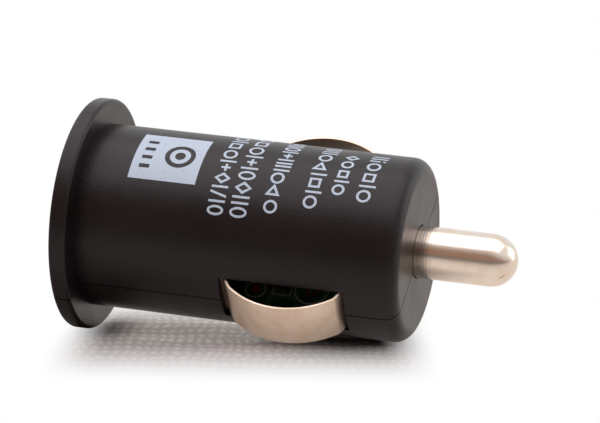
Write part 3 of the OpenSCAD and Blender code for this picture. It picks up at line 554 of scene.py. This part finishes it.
def make_side_contact(side, name, node, material):
    """Bowed strip of one side, made in its rest shape. The real strip flattens towards the line of its ends
    as the contact is pressed in.
    """
    bm = bmesh.new()
    first = section_ring(bm, STRIP_T, STRIP_W, STRIP_EDGE_R, 3)
    bmesh.ops.rotate(bm, verts=bm.verts, cent=(0, 0, 0), matrix=Matrix.Rotation(radians(FOOT_LEAN), 3, "Y"))
    bmesh.ops.translate(bm, verts=bm.verts, vec=(FOOT_X, 0, FOOT_Z))
    place = [FOOT_X, FOOT_Z, FOOT_LEAN]
    last = sweep_strip(bm, first, place, [
        ("run", FOOT_RUN), ("turn", BEND_R, -FOOT_LEAN), ("run", HEEL_RUN), ("turn", BEND_R, RISE_LEAN),
        ("run", RISE_RUN), ("turn", BEND_R, BOW_TURN / 2 - RISE_LEAN), ("turn", BOW_R, -BOW_TURN),
        ("turn", BEND_R, -FALL_TURN), ("reach", RUN_X, BEND_R)])
    last = sweep_strip(bm, last, place, [("run", STRIP_TOP_Z - place[1])])
    for ring in (first, last):
        bmesh.ops.edgeloop_fill(bm, edges=ring)
    bmesh.ops.scale(bm, verts=bm.verts, vec=(side * MM, MM, MM))
    piece = finish_piece(bm, name, material, "housing", sharp=50)
    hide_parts(node)
    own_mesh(piece)


# Spring, in millimetres: the foot of its wire, the radius of its coil, its wire, and the rise of each turn
SPRING_Z = 30.15
SPRING_R = 2.175
SPRING_WIRE = 0.45
SPRING_END_RISE = 0.504
SPRING_PITCH = 1.173
SPRING_RISES = [SPRING_END_RISE] + [SPRING_PITCH] * 4 + [SPRING_END_RISE]
SPRING_STEPS = 32


def make_spring(material):
    """Compression spring, wound turn by turn: closed end turns and an even pitch between them."""
    bm = bmesh.new()
    made = bmesh.ops.create_circle(bm, segments=12, radius=SPRING_WIRE / 2)["verts"]
    bmesh.ops.rotate(bm, verts=made, cent=(0, 0, 0), matrix=Matrix.Rotation(radians(90), 3, "X"))
    bmesh.ops.translate(bm, verts=made, vec=(SPRING_R, 0, SPRING_Z + SPRING_WIRE / 2))
    first = ring = bm.edges[:]
    for rise in SPRING_RISES:
        made = bmesh.ops.spin(bm, geom=ring, cent=(0, 0, 0), axis=(0, 0, 1), dvec=(0, 0, rise / SPRING_STEPS),
                              angle=2 * pi, steps=SPRING_STEPS)
        ring = [item for item in made["geom_last"] if isinstance(item, bmesh.types.BMEdge)]
    for end in (first, ring):
        bmesh.ops.edgeloop_fill(bm, edges=end)
    bmesh.ops.scale(bm, verts=bm.verts, vec=(MM, MM, MM))
    piece = finish_piece(bm, "tip_coil_spring", material, "housing", sharp=60)
    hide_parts("tip_spring")
    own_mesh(piece)


# Board, in millimetres: the places of the leads, as x and z, and the profile of the solder round a lead
LEADS = [(-3.5, 15.0), (-1.0, 15.0), (1.0, 15.0), (3.5, 15.0), (-3.8, 20.0), (2.2, 20.0),
         (-4.4, 26.6), (-2.4, 26.6), (0.9, 26.6), (2.9, 26.6)]
SOLDER = [(0.0, 0.0), (0.44, 0.0), (0.4, 0.12), (0.35, 0.3), (0.3, 0.42), (0.0, 0.46)]

# White outlines on the board's front, in millimetres and degrees: x, z, half width, half height, line,
# sides, turn
OUTLINES = [
    (5.66, 21.2, 1.25, 1.25, 0.2, 28, 0),
    (4.9, 27.6, 2.0, 2.0, 0.2, 28, 0),
    (-3.4, 26.6, 2.75, 2.75, 0.2, 40, 0),
    (-0.8, 20.0, 3.95, 3.95, 0.2, 48, 0),
    (5.4, 24.3, 0.95, 1.55, 0.16, 4, 45),
]
END_LINES_Z = (4.2, 31.9)
END_LINE_HALF = 6.0
END_LINE = 0.2
PAD_R = 0.62
EYELET_R = 0.7
EYELET_LINE = 0.35
BOARD_INK_T = 0.02
PAD_T = 0.03


def make_board_print(ink, copper):
    """White outlines on the board's front, with a bare pad and an eyelet in the first two."""
    bm = bmesh.new()
    for x, z, rx, rz, line, sides, turn in OUTLINES:
        flat_ring(bm, x, z, rx, rz, line, sides=sides, turn=turn)
    for z in END_LINES_Z:
        flat_bar(bm, -END_LINE_HALF, END_LINE_HALF, z, z + END_LINE)
    lay_on_board(bm, BOARD_FRONT, -BOARD_INK_T)
    finish_piece(bm, "board_white_print", ink, "housing")
    bm = bmesh.new()
    flat_disc(bm, *OUTLINES[0][:2], PAD_R)
    flat_ring(bm, *OUTLINES[1][:2], EYELET_R, EYELET_R, EYELET_LINE)
    lay_on_board(bm, BOARD_FRONT, -PAD_T)
    finish_piece(bm, "board_test_pads", copper, "housing")


def lay_on_board(bm, y, thick):
    """Lays flat shapes on a face of the board and gives them a thickness along Y."""
    for vert in bm.verts:
        vert.co = Vector((vert.co.x, y, vert.co.z)) * MM
    made = bmesh.ops.extrude_face_region(bm, geom=bm.faces[:])["geom"]
    bmesh.ops.translate(bm, verts=[item for item in made if isinstance(item, bmesh.types.BMVert)],
                        vec=(0, thick * MM, 0))


def make_solder(material):
    """Solder joints: each is a small fillet spun round its lead."""
    bm = bmesh.new()
    for x, z in LEADS:
        verts = [bm.verts.new((x + r, BOARD_BACK + h, z)) for r, h in SOLDER]
        edges = [bm.edges.new(pair) for pair in zip(verts, verts[1:])]
        bmesh.ops.spin(bm, geom=edges, cent=(x, 0, z), axis=(0, 1, 0), angle=2 * pi, steps=16, use_merge=True)
    bmesh.ops.scale(bm, verts=bm.verts, vec=(MM, MM, MM))
    finish_piece(bm, "solder_joints", material, "housing", sharp=70)


# Stage: the plug lies on a cloth, so the floor leans against its axis. The camera's place and the floor's
# distance from the axis are in millimetres, the lens and the sensor in the camera's own millimetres, and
# half the floor's width and the point that the lamps face in metres
CAMERA_AT = (231.98, -274.73, 124.11)
CAMERA_RIGHT = (-0.26017, 0.12468, 0.95748)
CAMERA_DOWN = (0.73358, 0.67030, 0.11204)
CAMERA_FORWARD = (-0.62783, 0.73154, -0.26586)
CAMERA_LENS = 198.99
CAMERA_SENSOR = 36
FLOOR_DOWN = Vector((0.68914, 0.71950, 0.0795)).normalized()
FLOOR_FAR = 13.3
FLOOR_HALF = 1.5
FLOOR_AWAY = (Vector(CAMERA_FORWARD) - FLOOR_DOWN * Vector(CAMERA_FORWARD).dot(FLOOR_DOWN)).normalized()
FLOOR_SIDE = FLOOR_DOWN.cross(FLOOR_AWAY)
LAMPS_AIM = Vector((0, 0, 0.025))

# Cloth: distances in millimetres from the point under PLUG_MID_Z, across the view, which is nearly along
# the plug, and away from the camera. The pairs SEEN, GLOSS, GLOW, LIFT_ALONG and LIFT_BACK say where a fade
# starts and ends. NOSE_SHADE_AT is the middle of a painted shadow under the nose, and NOSE_SHADE_REACH is how
# far it reaches. LIFT_AT is the middle of painted light that glows under the barrel. The GLOW fade belongs to
# the painted light that the cloth shows in gloss.
# WARP and WEFT are the spacings of the threads, and SWAY is how far they sway
PLUG_MID_Z = 19.0
SEEN_NEAR = (-46, -8)
SEEN_FAR = (8, 38)
SEEN_SIDE = (14.8, 21.5)
GLOSS_SIDE = (14, 24)
GLOSS_BACK = (4, 15)
GLOW_NEAR = (-70, -12)
NOSE_SHADE_AT = (11.5, -10.5)
NOSE_SHADE_REACH = (11.1, 19.2)
LIFT_AT = (-5, 5)
LIFT_ALONG = (5.5, 12)
LIFT_BACK = (7, 18)
WARP_MM = 1.1
WEFT_MM = 4.5
SWAY_ACROSS = 2.2
SWAY_BACK = 7.0

# Sky: the direction from which it is brightest, the cosines of the angle to it at which the sky is darkest
# and brightest, and the strength of its light
SKY_FROM = (FLOOR_AWAY * 0.34 - FLOOR_DOWN * 0.94 + FLOOR_SIDE * 0.4).normalized()
SKY_FALL = (-0.15, 0.55)
SKY_LIGHT = 0.5


def make_camera():
    """Long lens low over the cloth, beside the plug and a little towards its tip."""
    camera = bpy.data.cameras.new("camera")
    camera.lens = CAMERA_LENS
    camera.sensor_width = CAMERA_SENSOR
    camera.clip_start = 0.01
    camera.clip_end = 20
    place = bpy.data.objects.new("camera", camera)
    axes = Matrix((CAMERA_RIGHT, -Vector(CAMERA_DOWN), -Vector(CAMERA_FORWARD))).transposed()
    place.matrix_world = Matrix.Translation(Vector(CAMERA_AT) * MM) @ axes.to_4x4()
    bpy.context.scene.collection.objects.link(place)
    bpy.context.scene.camera = place


def studio_light(name, up, side, back, size, power, colour="#FFFFFF"):
    """Soft box at a place given along the floor's up, the view's right and away from the camera, in
    metres."""
    rise = -FLOOR_DOWN
    right = Vector(CAMERA_RIGHT)
    lamp = bpy.data.lights.new(name, "AREA")
    lamp.shape = "RECTANGLE"
    lamp.size, lamp.size_y = size
    lamp.energy = power
    lamp.color = linear(colour)[:3]
    box = bpy.data.objects.new(name, lamp)
    spot = LAMPS_AIM + rise * up + right * side + FLOOR_AWAY * back
    turn = (spot - LAMPS_AIM).to_track_quat("Z", "Y").to_matrix().to_4x4()
    box.matrix_world = Matrix.Translation(spot) @ turn
    bpy.context.scene.collection.objects.link(box)


def cloth_weave(tree, colour, flat):
    """Colour and bump of a white cotton cloth in a plain weave with uneven, swaying threads. They are drawn
    coarser than real ones so that they show, and the weft the most, because the camera looks nearly flat
    along the cloth."""
    sway = add(tree, "TexNoise", {"Vector": flat, "Scale": per_mm(7), "Detail": 2.0}).outputs["Color"]
    sway = add(tree, "VectorMath", {0: sway, 1: (SWAY_ACROSS * MM, SWAY_BACK * MM, 0)},
               operation="MULTIPLY").outputs[0]
    flat = add(tree, "VectorMath", {0: flat, 1: sway}, operation="ADD").outputs[0]
    warp = add(tree, "TexWave", {"Vector": flat, "Scale": wave_mm(WARP_MM), "Distortion": 2.6, "Detail": 2.0,
                                 "Detail Scale": 0.6}, bands_direction="X").outputs["Fac"]
    weft = add(tree, "TexWave", {"Vector": flat, "Scale": wave_mm(WEFT_MM), "Distortion": 4.0, "Detail": 2.0,
                                 "Detail Scale": 1.0}, bands_direction="Y").outputs["Fac"]
    weave = add(tree, "Math", {0: warp, 1: weft}, operation="MULTIPLY").outputs[0]
    lint = add(tree, "TexNoise", {"Vector": flat, "Scale": per_mm(1.6), "Detail": 4.0}).outputs[0]
    thread = add(tree, "Math", {0: weave, 1: lint}, operation="ADD").outputs[0]
    tone = add(tree, "MapRange", {0: thread, 1: 0.3, 2: 1.3, 3: 0.74, 4: 1.12}).outputs[0]
    woven = add(tree, "Mix", {0: 1.0, 6: linear(colour), 7: tone}, data_type="RGBA",
                blend_type="MULTIPLY").outputs[2]
    bump = add(tree, "Bump", {"Height": thread, "Strength": 0.5, "Distance": 0.3 * MM}).outputs[0]
    return woven, bump


def soft_patch(tree, place, ends, full):
    """Number that is full inside the first distance from 0 and falls softly to 0 at the second."""
    off = add(tree, "Math", {0: place}, operation="ABSOLUTE").outputs[0]
    return add(tree, "MapRange", {0: off, 1: ends[0] * MM, 2: ends[1] * MM, 3: full, 4: 0.0},
               interpolation_type="SMOOTHSTEP").outputs[0]


def lit_cloth(tree, colour, along, back):
    """Cloth with a painted shadow under the nose, and painted light that glows under the barrel."""
    flat = add(tree, "CombineXYZ", {0: along, 1: back}).outputs[0]
    woven, bump = cloth_weave(tree, colour, flat)
    nose = add(tree, "VectorMath", {0: flat, 1: (NOSE_SHADE_AT[0] * MM, NOSE_SHADE_AT[1] * MM, 0)},
               operation="SUBTRACT").outputs[0]
    nose = add(tree, "VectorMath", {0: nose,
                                    1: (per_mm(NOSE_SHADE_REACH[0]), per_mm(NOSE_SHADE_REACH[1]), 0)},
               operation="MULTIPLY").outputs[0]
    nose = add(tree, "VectorMath", {0: nose}, operation="LENGTH").outputs["Value"]
    # Painted shadow: the cloth's colour is darkened in a patch under the nose
    shade = add(tree, "MapRange", {0: nose, 1: 0.0, 2: 1.0, 3: 0.25, 4: 1.0}).outputs[0]
    woven = add(tree, "Mix", {0: 1.0, 6: woven, 7: shade}, data_type="RGBA",
                blend_type="MULTIPLY").outputs[2]
    cloth = add(tree, "BsdfDiffuse", {"Color": woven, "Normal": bump}).outputs[0]
    # Painted light: the cloth glows in its own colour under the barrel, where light from behind would reach
    # it
    past = add(tree, "Math", {0: along, 1: LIFT_AT[0] * MM}, operation="SUBTRACT").outputs[0]
    tuck = add(tree, "Math", {0: back, 1: LIFT_AT[1] * MM}, operation="SUBTRACT").outputs[0]
    painted_light_strength = add(tree, "Math", {0: soft_patch(tree, past, LIFT_ALONG, 1.0),
                              1: soft_patch(tree, tuck, LIFT_BACK, 0.68)}, operation="MULTIPLY").outputs[0]
    through = add(tree, "Emission", {"Color": woven, "Strength": painted_light_strength}).outputs[0]
    return add(tree, "AddShader", {0: cloth, 1: through}).outputs[0]


def cloth_floor(colour):
    """White table cloth, lit and shaded near the plug, with a painted shadow and painted light there. Further
    off it fades to plain white. In gloss, away from the plug, it shows a painted glow that gets dimmer
    towards the camera. It is clear from behind."""
    material, tree, coords = start_material("pale_cloth_floor")
    path = add(tree, "LightPath").outputs
    under = FLOOR_DOWN * FLOOR_FAR * MM + Vector((0, 0, PLUG_MID_Z * MM))
    spot = add(tree, "VectorMath", {0: coords, 1: under}, operation="SUBTRACT").outputs[0]
    back = add(tree, "VectorMath", {0: spot, 1: FLOOR_AWAY}, operation="DOT_PRODUCT").outputs["Value"]
    along = add(tree, "VectorMath", {0: spot, 1: FLOOR_SIDE}, operation="DOT_PRODUCT").outputs["Value"]

    near = add(tree, "MapRange", {0: back, 1: SEEN_NEAR[0] * MM, 2: SEEN_NEAR[1] * MM},
               interpolation_type="SMOOTHSTEP").outputs[0]
    close = add(tree, "MapRange", {0: back, 1: SEEN_FAR[0] * MM, 2: SEEN_FAR[1] * MM, 3: 1.0, 4: 0.0},
                interpolation_type="SMOOTHSTEP").outputs[0]
    kept = add(tree, "Math", {0: near, 1: close}, operation="MULTIPLY").outputs[0]
    kept = add(tree, "Math", {0: kept, 1: soft_patch(tree, along, SEEN_SIDE, 1.0)},
               operation="MULTIPLY").outputs[0]
    fade_seen = add(tree, "Math", {0: 1.0, 1: kept}, operation="SUBTRACT").outputs[0]
    far_seen = add(tree, "Math", {0: path["Is Camera Ray"], 1: fade_seen}, operation="MULTIPLY").outputs[0]
    plain = add(tree, "Emission", {"Color": (1, 1, 1, 1), "Strength": 1.0}).outputs[0]
    face = add(tree, "MixShader", {0: far_seen, 1: lit_cloth(tree, colour, along, back),
                                   2: plain}).outputs[0]

    reach = add(tree, "Math", {0: back}, operation="ABSOLUTE").outputs[0]
    open_side = add(tree, "MapRange", {0: along, 1: GLOSS_SIDE[0] * MM, 2: GLOSS_SIDE[1] * MM}).outputs[0]
    open_back = add(tree, "MapRange", {0: reach, 1: GLOSS_BACK[0] * MM, 2: GLOSS_BACK[1] * MM}).outputs[0]
    fade_gloss = add(tree, "Math", {0: open_side, 1: open_back}, operation="MAXIMUM").outputs[0]
    gloss = add(tree, "Math", {0: path["Is Glossy Ray"], 1: path["Is Transmission Ray"]},
                operation="MAXIMUM").outputs[0]
    far_gloss = add(tree, "Math", {0: gloss, 1: fade_gloss}, operation="MULTIPLY").outputs[0]
    # Painted light for reflections: away from the plug the cloth glows for gloss, dimmer towards the camera
    glow = add(tree, "MapRange", {0: back, 1: GLOW_NEAR[0] * MM, 2: GLOW_NEAR[1] * MM, 3: 0.25, 4: 0.98},
               interpolation_type="SMOOTHSTEP").outputs[0]
    dim = add(tree, "Emission", {"Color": linear("#FFF6F0"), "Strength": glow}).outputs[0]
    face = add(tree, "MixShader", {0: far_gloss, 1: face, 2: dim}).outputs[0]

    behind = add(tree, "NewGeometry").outputs["Backfacing"]
    clear = add(tree, "BsdfTransparent").outputs[0]
    both = add(tree, "MixShader", {0: behind, 1: face, 2: clear}).outputs[0]
    add(tree, "OutputMaterial", {"Surface": both})
    return material


def make_floor(colour):
    """Flat sheet of cloth that the plug rests on."""
    bm = bmesh.new()
    bmesh.ops.create_grid(bm, x_segments=1, y_segments=1, size=FLOOR_HALF)
    turn = (-FLOOR_DOWN).to_track_quat("Z", "Y").to_matrix().to_4x4()
    bmesh.ops.transform(bm, verts=bm.verts, matrix=Matrix.Translation(FLOOR_DOWN * FLOOR_FAR * MM) @ turn)
    mesh = bpy.data.meshes.new("floor")
    bm.to_mesh(mesh)
    bm.free()
    mesh.materials.append(cloth_floor(colour))
    floor_piece = bpy.data.objects.new("floor", mesh)
    bpy.context.scene.collection.objects.link(floor_piece)


def make_world():
    """White all round for the camera, an even and weaker white for light, and for gloss a soft sky that is
    darker on the camera's side."""
    world = bpy.data.worlds.new("studio")
    bpy.context.scene.world = world
    world.use_nodes = True
    tree = world.node_tree
    tree.nodes.clear()
    path = add(tree, "LightPath").outputs
    ray = add(tree, "TexCoord").outputs["Generated"]
    toward = add(tree, "VectorMath", {0: ray, 1: SKY_FROM}, operation="DOT_PRODUCT").outputs["Value"]
    sky = add(tree, "MapRange", {0: toward, 1: SKY_FALL[0], 2: SKY_FALL[1]},
              interpolation_type="SMOOTHSTEP").outputs[0]
    room = add(tree, "Mix", {0: sky, 6: linear("#A68979"), 7: (1, 1, 1, 1)}, data_type="RGBA").outputs[2]
    gloss = add(tree, "Background", {"Color": room}).outputs[0]
    light = add(tree, "Background", {"Color": linear("#FBF4F3"), "Strength": SKY_LIGHT}).outputs[0]
    seen = add(tree, "Background", {"Color": (1, 1, 1, 1), "Strength": 1.0}).outputs[0]
    shown = add(tree, "MixShader", {0: path["Is Glossy Ray"], 1: light, 2: gloss}).outputs[0]
    shown = add(tree, "MixShader", {0: path["Is Transmission Ray"], 1: shown, 2: gloss}).outputs[0]
    shown = add(tree, "MixShader", {0: path["Is Camera Ray"], 1: shown, 2: seen}).outputs[0]
    add(tree, "OutputWorld", {"Surface": shown})


class PlugSizes(bpy.types.PropertyGroup):
    """Sizes of the pieces that the scene adds"""
    stroke: bpy.props.FloatProperty(
        name="Stroke", description="Width of the lines in the print", default=0.28 * MM, unit="LENGTH",
        precision=5)
    ink_rise: bpy.props.FloatProperty(
        name="Ink gap", description="Height of the print's lower side over the plastic", default=0.006 * MM,
        unit="LENGTH", precision=6)
    ink_thick: bpy.props.FloatProperty(
        name="Ink thickness", description="Thickness of the print", default=0.014 * MM, unit="LENGTH",
        precision=6)


class PlugColours(bpy.types.PropertyGroup):
    """Colours of the main finishes, as sRGB hex values"""
    plastic: bpy.props.StringProperty(name="Plastic", description="Moulded housing", default="#1B1314")
    ink: bpy.props.StringProperty(name="Print", description="Pad print on the barrel", default="#BAC8D6")
    nickel: bpy.props.StringProperty(name="Tip", description="Nickel plate of the tip", default="#E1D4C8")
    strip: bpy.props.StringProperty(name="Contacts", description="Nickel plate of the side contacts",
                                    default="#EBD6C3")
    # Dark green of the mask, made darker still as painted shade for the inside of the slot
    board: bpy.props.StringProperty(name="Board", description="Solder mask of the board", default="#14301F")
    floor: bpy.props.StringProperty(name="Floor", description="Cloth under the plug", default="#A8A19C")


class PLUG_OT_stage(bpy.types.Operator):
    """Makes the camera, the floor, the lights and the world"""
    bl_idname = "plug.stage"
    bl_label = "Stage"

    def execute(self, context):
        scene = context.scene
        scene.view_settings.view_transform = "Standard"
        make_camera()
        make_floor(scene.plug_colours.floor)
        make_world()
        studio_light("light_over", up=0.45, side=-0.05, back=-0.08, size=(0.55, 0.95), power=2.55,
                     colour="#FFF8FF")
        studio_light("light_side", up=0.16, side=0.5, back=0.1, size=(0.3, 0.3), power=0.3)
        return {"FINISHED"}


class PLUG_OT_housing(bpy.types.Operator):
    """Finishes the two housing shells, the face plate and the lamp"""
    bl_idname = "plug.housing"
    bl_label = "Housing"

    def execute(self, context):
        colours = context.scene.plug_colours
        dress(moulded_plastic("moulded_abs_housing", colours.plastic, 0.34), "front_shell", "rear_shell")
        dress(moulded_plastic("polished_abs_plate", "#1E1C1D", 0.2, grain=0.5, dents=0.08), "face_plate")
        dress(tinted_epoxy("red_epoxy_lens", "#C8342B"), "indicator_led")
        return {"FINISHED"}


class PLUG_OT_print(bpy.types.Operator):
    """Prints the panel and the rows of plain marks on the barrel"""
    bl_idname = "plug.print"
    bl_label = "Pad print"

    def execute(self, context):
        sizes = context.scene.plug_sizes
        colours = context.scene.plug_colours
        ink = printed_ink("pad_print_ink", colours.ink)
        make_print_rows(sizes, ink)
        make_print_panel(sizes, ink, moulded_plastic("bare_abs_in_print", colours.plastic, 0.34))
        return {"FINISHED"}


class PLUG_OT_tip(bpy.types.Operator):
    """Finishes the contact tip, and winds its spring"""
    bl_idname = "plug.tip"
    bl_label = "Contact tip"

    def execute(self, context):
        dress(turned_nickel("turned_brass_nickel_plate", context.scene.plug_colours.nickel), "tip_pin")
        make_spring(plated_sheet("drawn_spring_wire", "#BDBBB6", 0.25, grain=0.2))
        return {"FINISHED"}


class PLUG_OT_side_contacts(bpy.types.Operator):
    """Bends the two bowed side contacts, and finishes the ring that joins them"""
    bl_idname = "plug.side_contacts"
    bl_label = "Side contacts"

    def execute(self, context):
        material = rolled_nickel("rolled_nickel_strip", context.scene.plug_colours.strip)
        make_side_contact(1, "right_bow_strip", "side_contact_right", material)
        make_side_contact(-1, "left_bow_strip", "side_contact_left", material)
        dress(material, "ground_ring")
        return {"FINISHED"}


class PLUG_OT_board(bpy.types.Operator):
    """Finishes the circuit board, its print and its solder joints"""
    bl_idname = "plug.board"
    bl_label = "Circuit board"

    def execute(self, context):
        dress(solder_mask("green_solder_mask", context.scene.plug_colours.board), "circuit_board")
        # The white print is coloured grey: painted shade for the slot that it lies in
        make_board_print(solid_finish("board_print_painted_shade", "#6E716B", "#7F827C", 0.6, 1.5),
                         plated_sheet("bare_copper_pad", "#C4623C", 0.3))
        make_solder(plated_sheet("bright_solder", "#C9CACB", 0.22))
        return {"FINISHED"}


class PLUG_OT_electronics(bpy.types.Operator):
    """Finishes the parts on the board"""
    bl_idname = "plug.electronics"
    bl_label = "Parts on the board"

    def execute(self, context):
        dress(plated_sheet("tinned_bracket", "#BEBDBA", 0.32), "spring_seat")
        dress(solid_finish("pressed_ferrite", "#3A3837", "#2E2C2C", 0.55, 2.3), "inductor_core")
        dress(wound_copper("enamelled_copper", "#C8743A"), "inductor_winding")
        dress(can_finish("sleeved_aluminium_can", "#23293A"), "input_capacitor", "output_capacitor")
        dress(solid_finish("black_moulding_compound", "#232323", "#2C2B2B", 0.5, 1.55),
              "regulator_ic", "diode", "chip_resistors")
        dress(solid_finish("fired_ceramic", "#B08A5E", "#A57F55", 0.4, 1.7), "chip_capacitors")
        dress(solid_finish("white_ceramic", "#DEDBD3", "#D2CFC6", 0.4, 1.65), "input_fuse")
        return {"FINISHED"}


class PLUG_OT_port(bpy.types.Operator):
    """Finishes the USB port"""
    bl_idname = "plug.port"
    bl_label = "USB port"

    def execute(self, context):
        dress(plated_sheet("bright_port_shell", "#C4C2BE", 0.2), "usb_shell")
        dress(solid_finish("white_port_plastic", "#E9E7E1", "#E1DFD8", 0.45, 1.52, bumps=0.08),
              "usb_insulator")
        dress(plated_sheet("gold_flash", "#D9AE55", 0.2), "usb_contacts")
        return {"FINISHED"}


OPERATORS = [PLUG_OT_stage, PLUG_OT_housing, PLUG_OT_print, PLUG_OT_tip, PLUG_OT_side_contacts, PLUG_OT_board,
             PLUG_OT_electronics, PLUG_OT_port]


class PLUG_PT_panel(bpy.types.Panel):
    """Lists the plug's sizes, colours and steps"""
    bl_idname = "PLUG_PT_panel"
    bl_label = "USB charger plug"
    bl_space_type = "VIEW_3D"
    bl_region_type = "UI"
    bl_category = "Plug"

    def draw(self, context):
        for group in (context.scene.plug_sizes, context.scene.plug_colours):
            for name in group.__annotations__:
                self.layout.prop(group, name)
        for operator in OPERATORS:
            self.layout.operator(operator.bl_idname)


CLASSES = [PlugSizes, PlugColours, *OPERATORS, PLUG_PT_panel]


def register():
    for entry in CLASSES:
        bpy.utils.register_class(entry)
    bpy.types.Scene.plug_sizes = bpy.props.PointerProperty(type=PlugSizes)
    bpy.types.Scene.plug_colours = bpy.props.PointerProperty(type=PlugColours)


def unregister():
    del bpy.types.Scene.plug_colours
    del bpy.types.Scene.plug_sizes
    for entry in reversed(CLASSES):
        bpy.utils.unregister_class(entry)


def main():
    """Runs every step."""
    register()
    for step in (bpy.ops.plug.stage, bpy.ops.plug.housing, bpy.ops.plug.print, bpy.ops.plug.tip,
                 bpy.ops.plug.side_contacts, bpy.ops.plug.board, bpy.ops.plug.electronics, bpy.ops.plug.port):
        step()


if __name__ == "__main__":
    main()
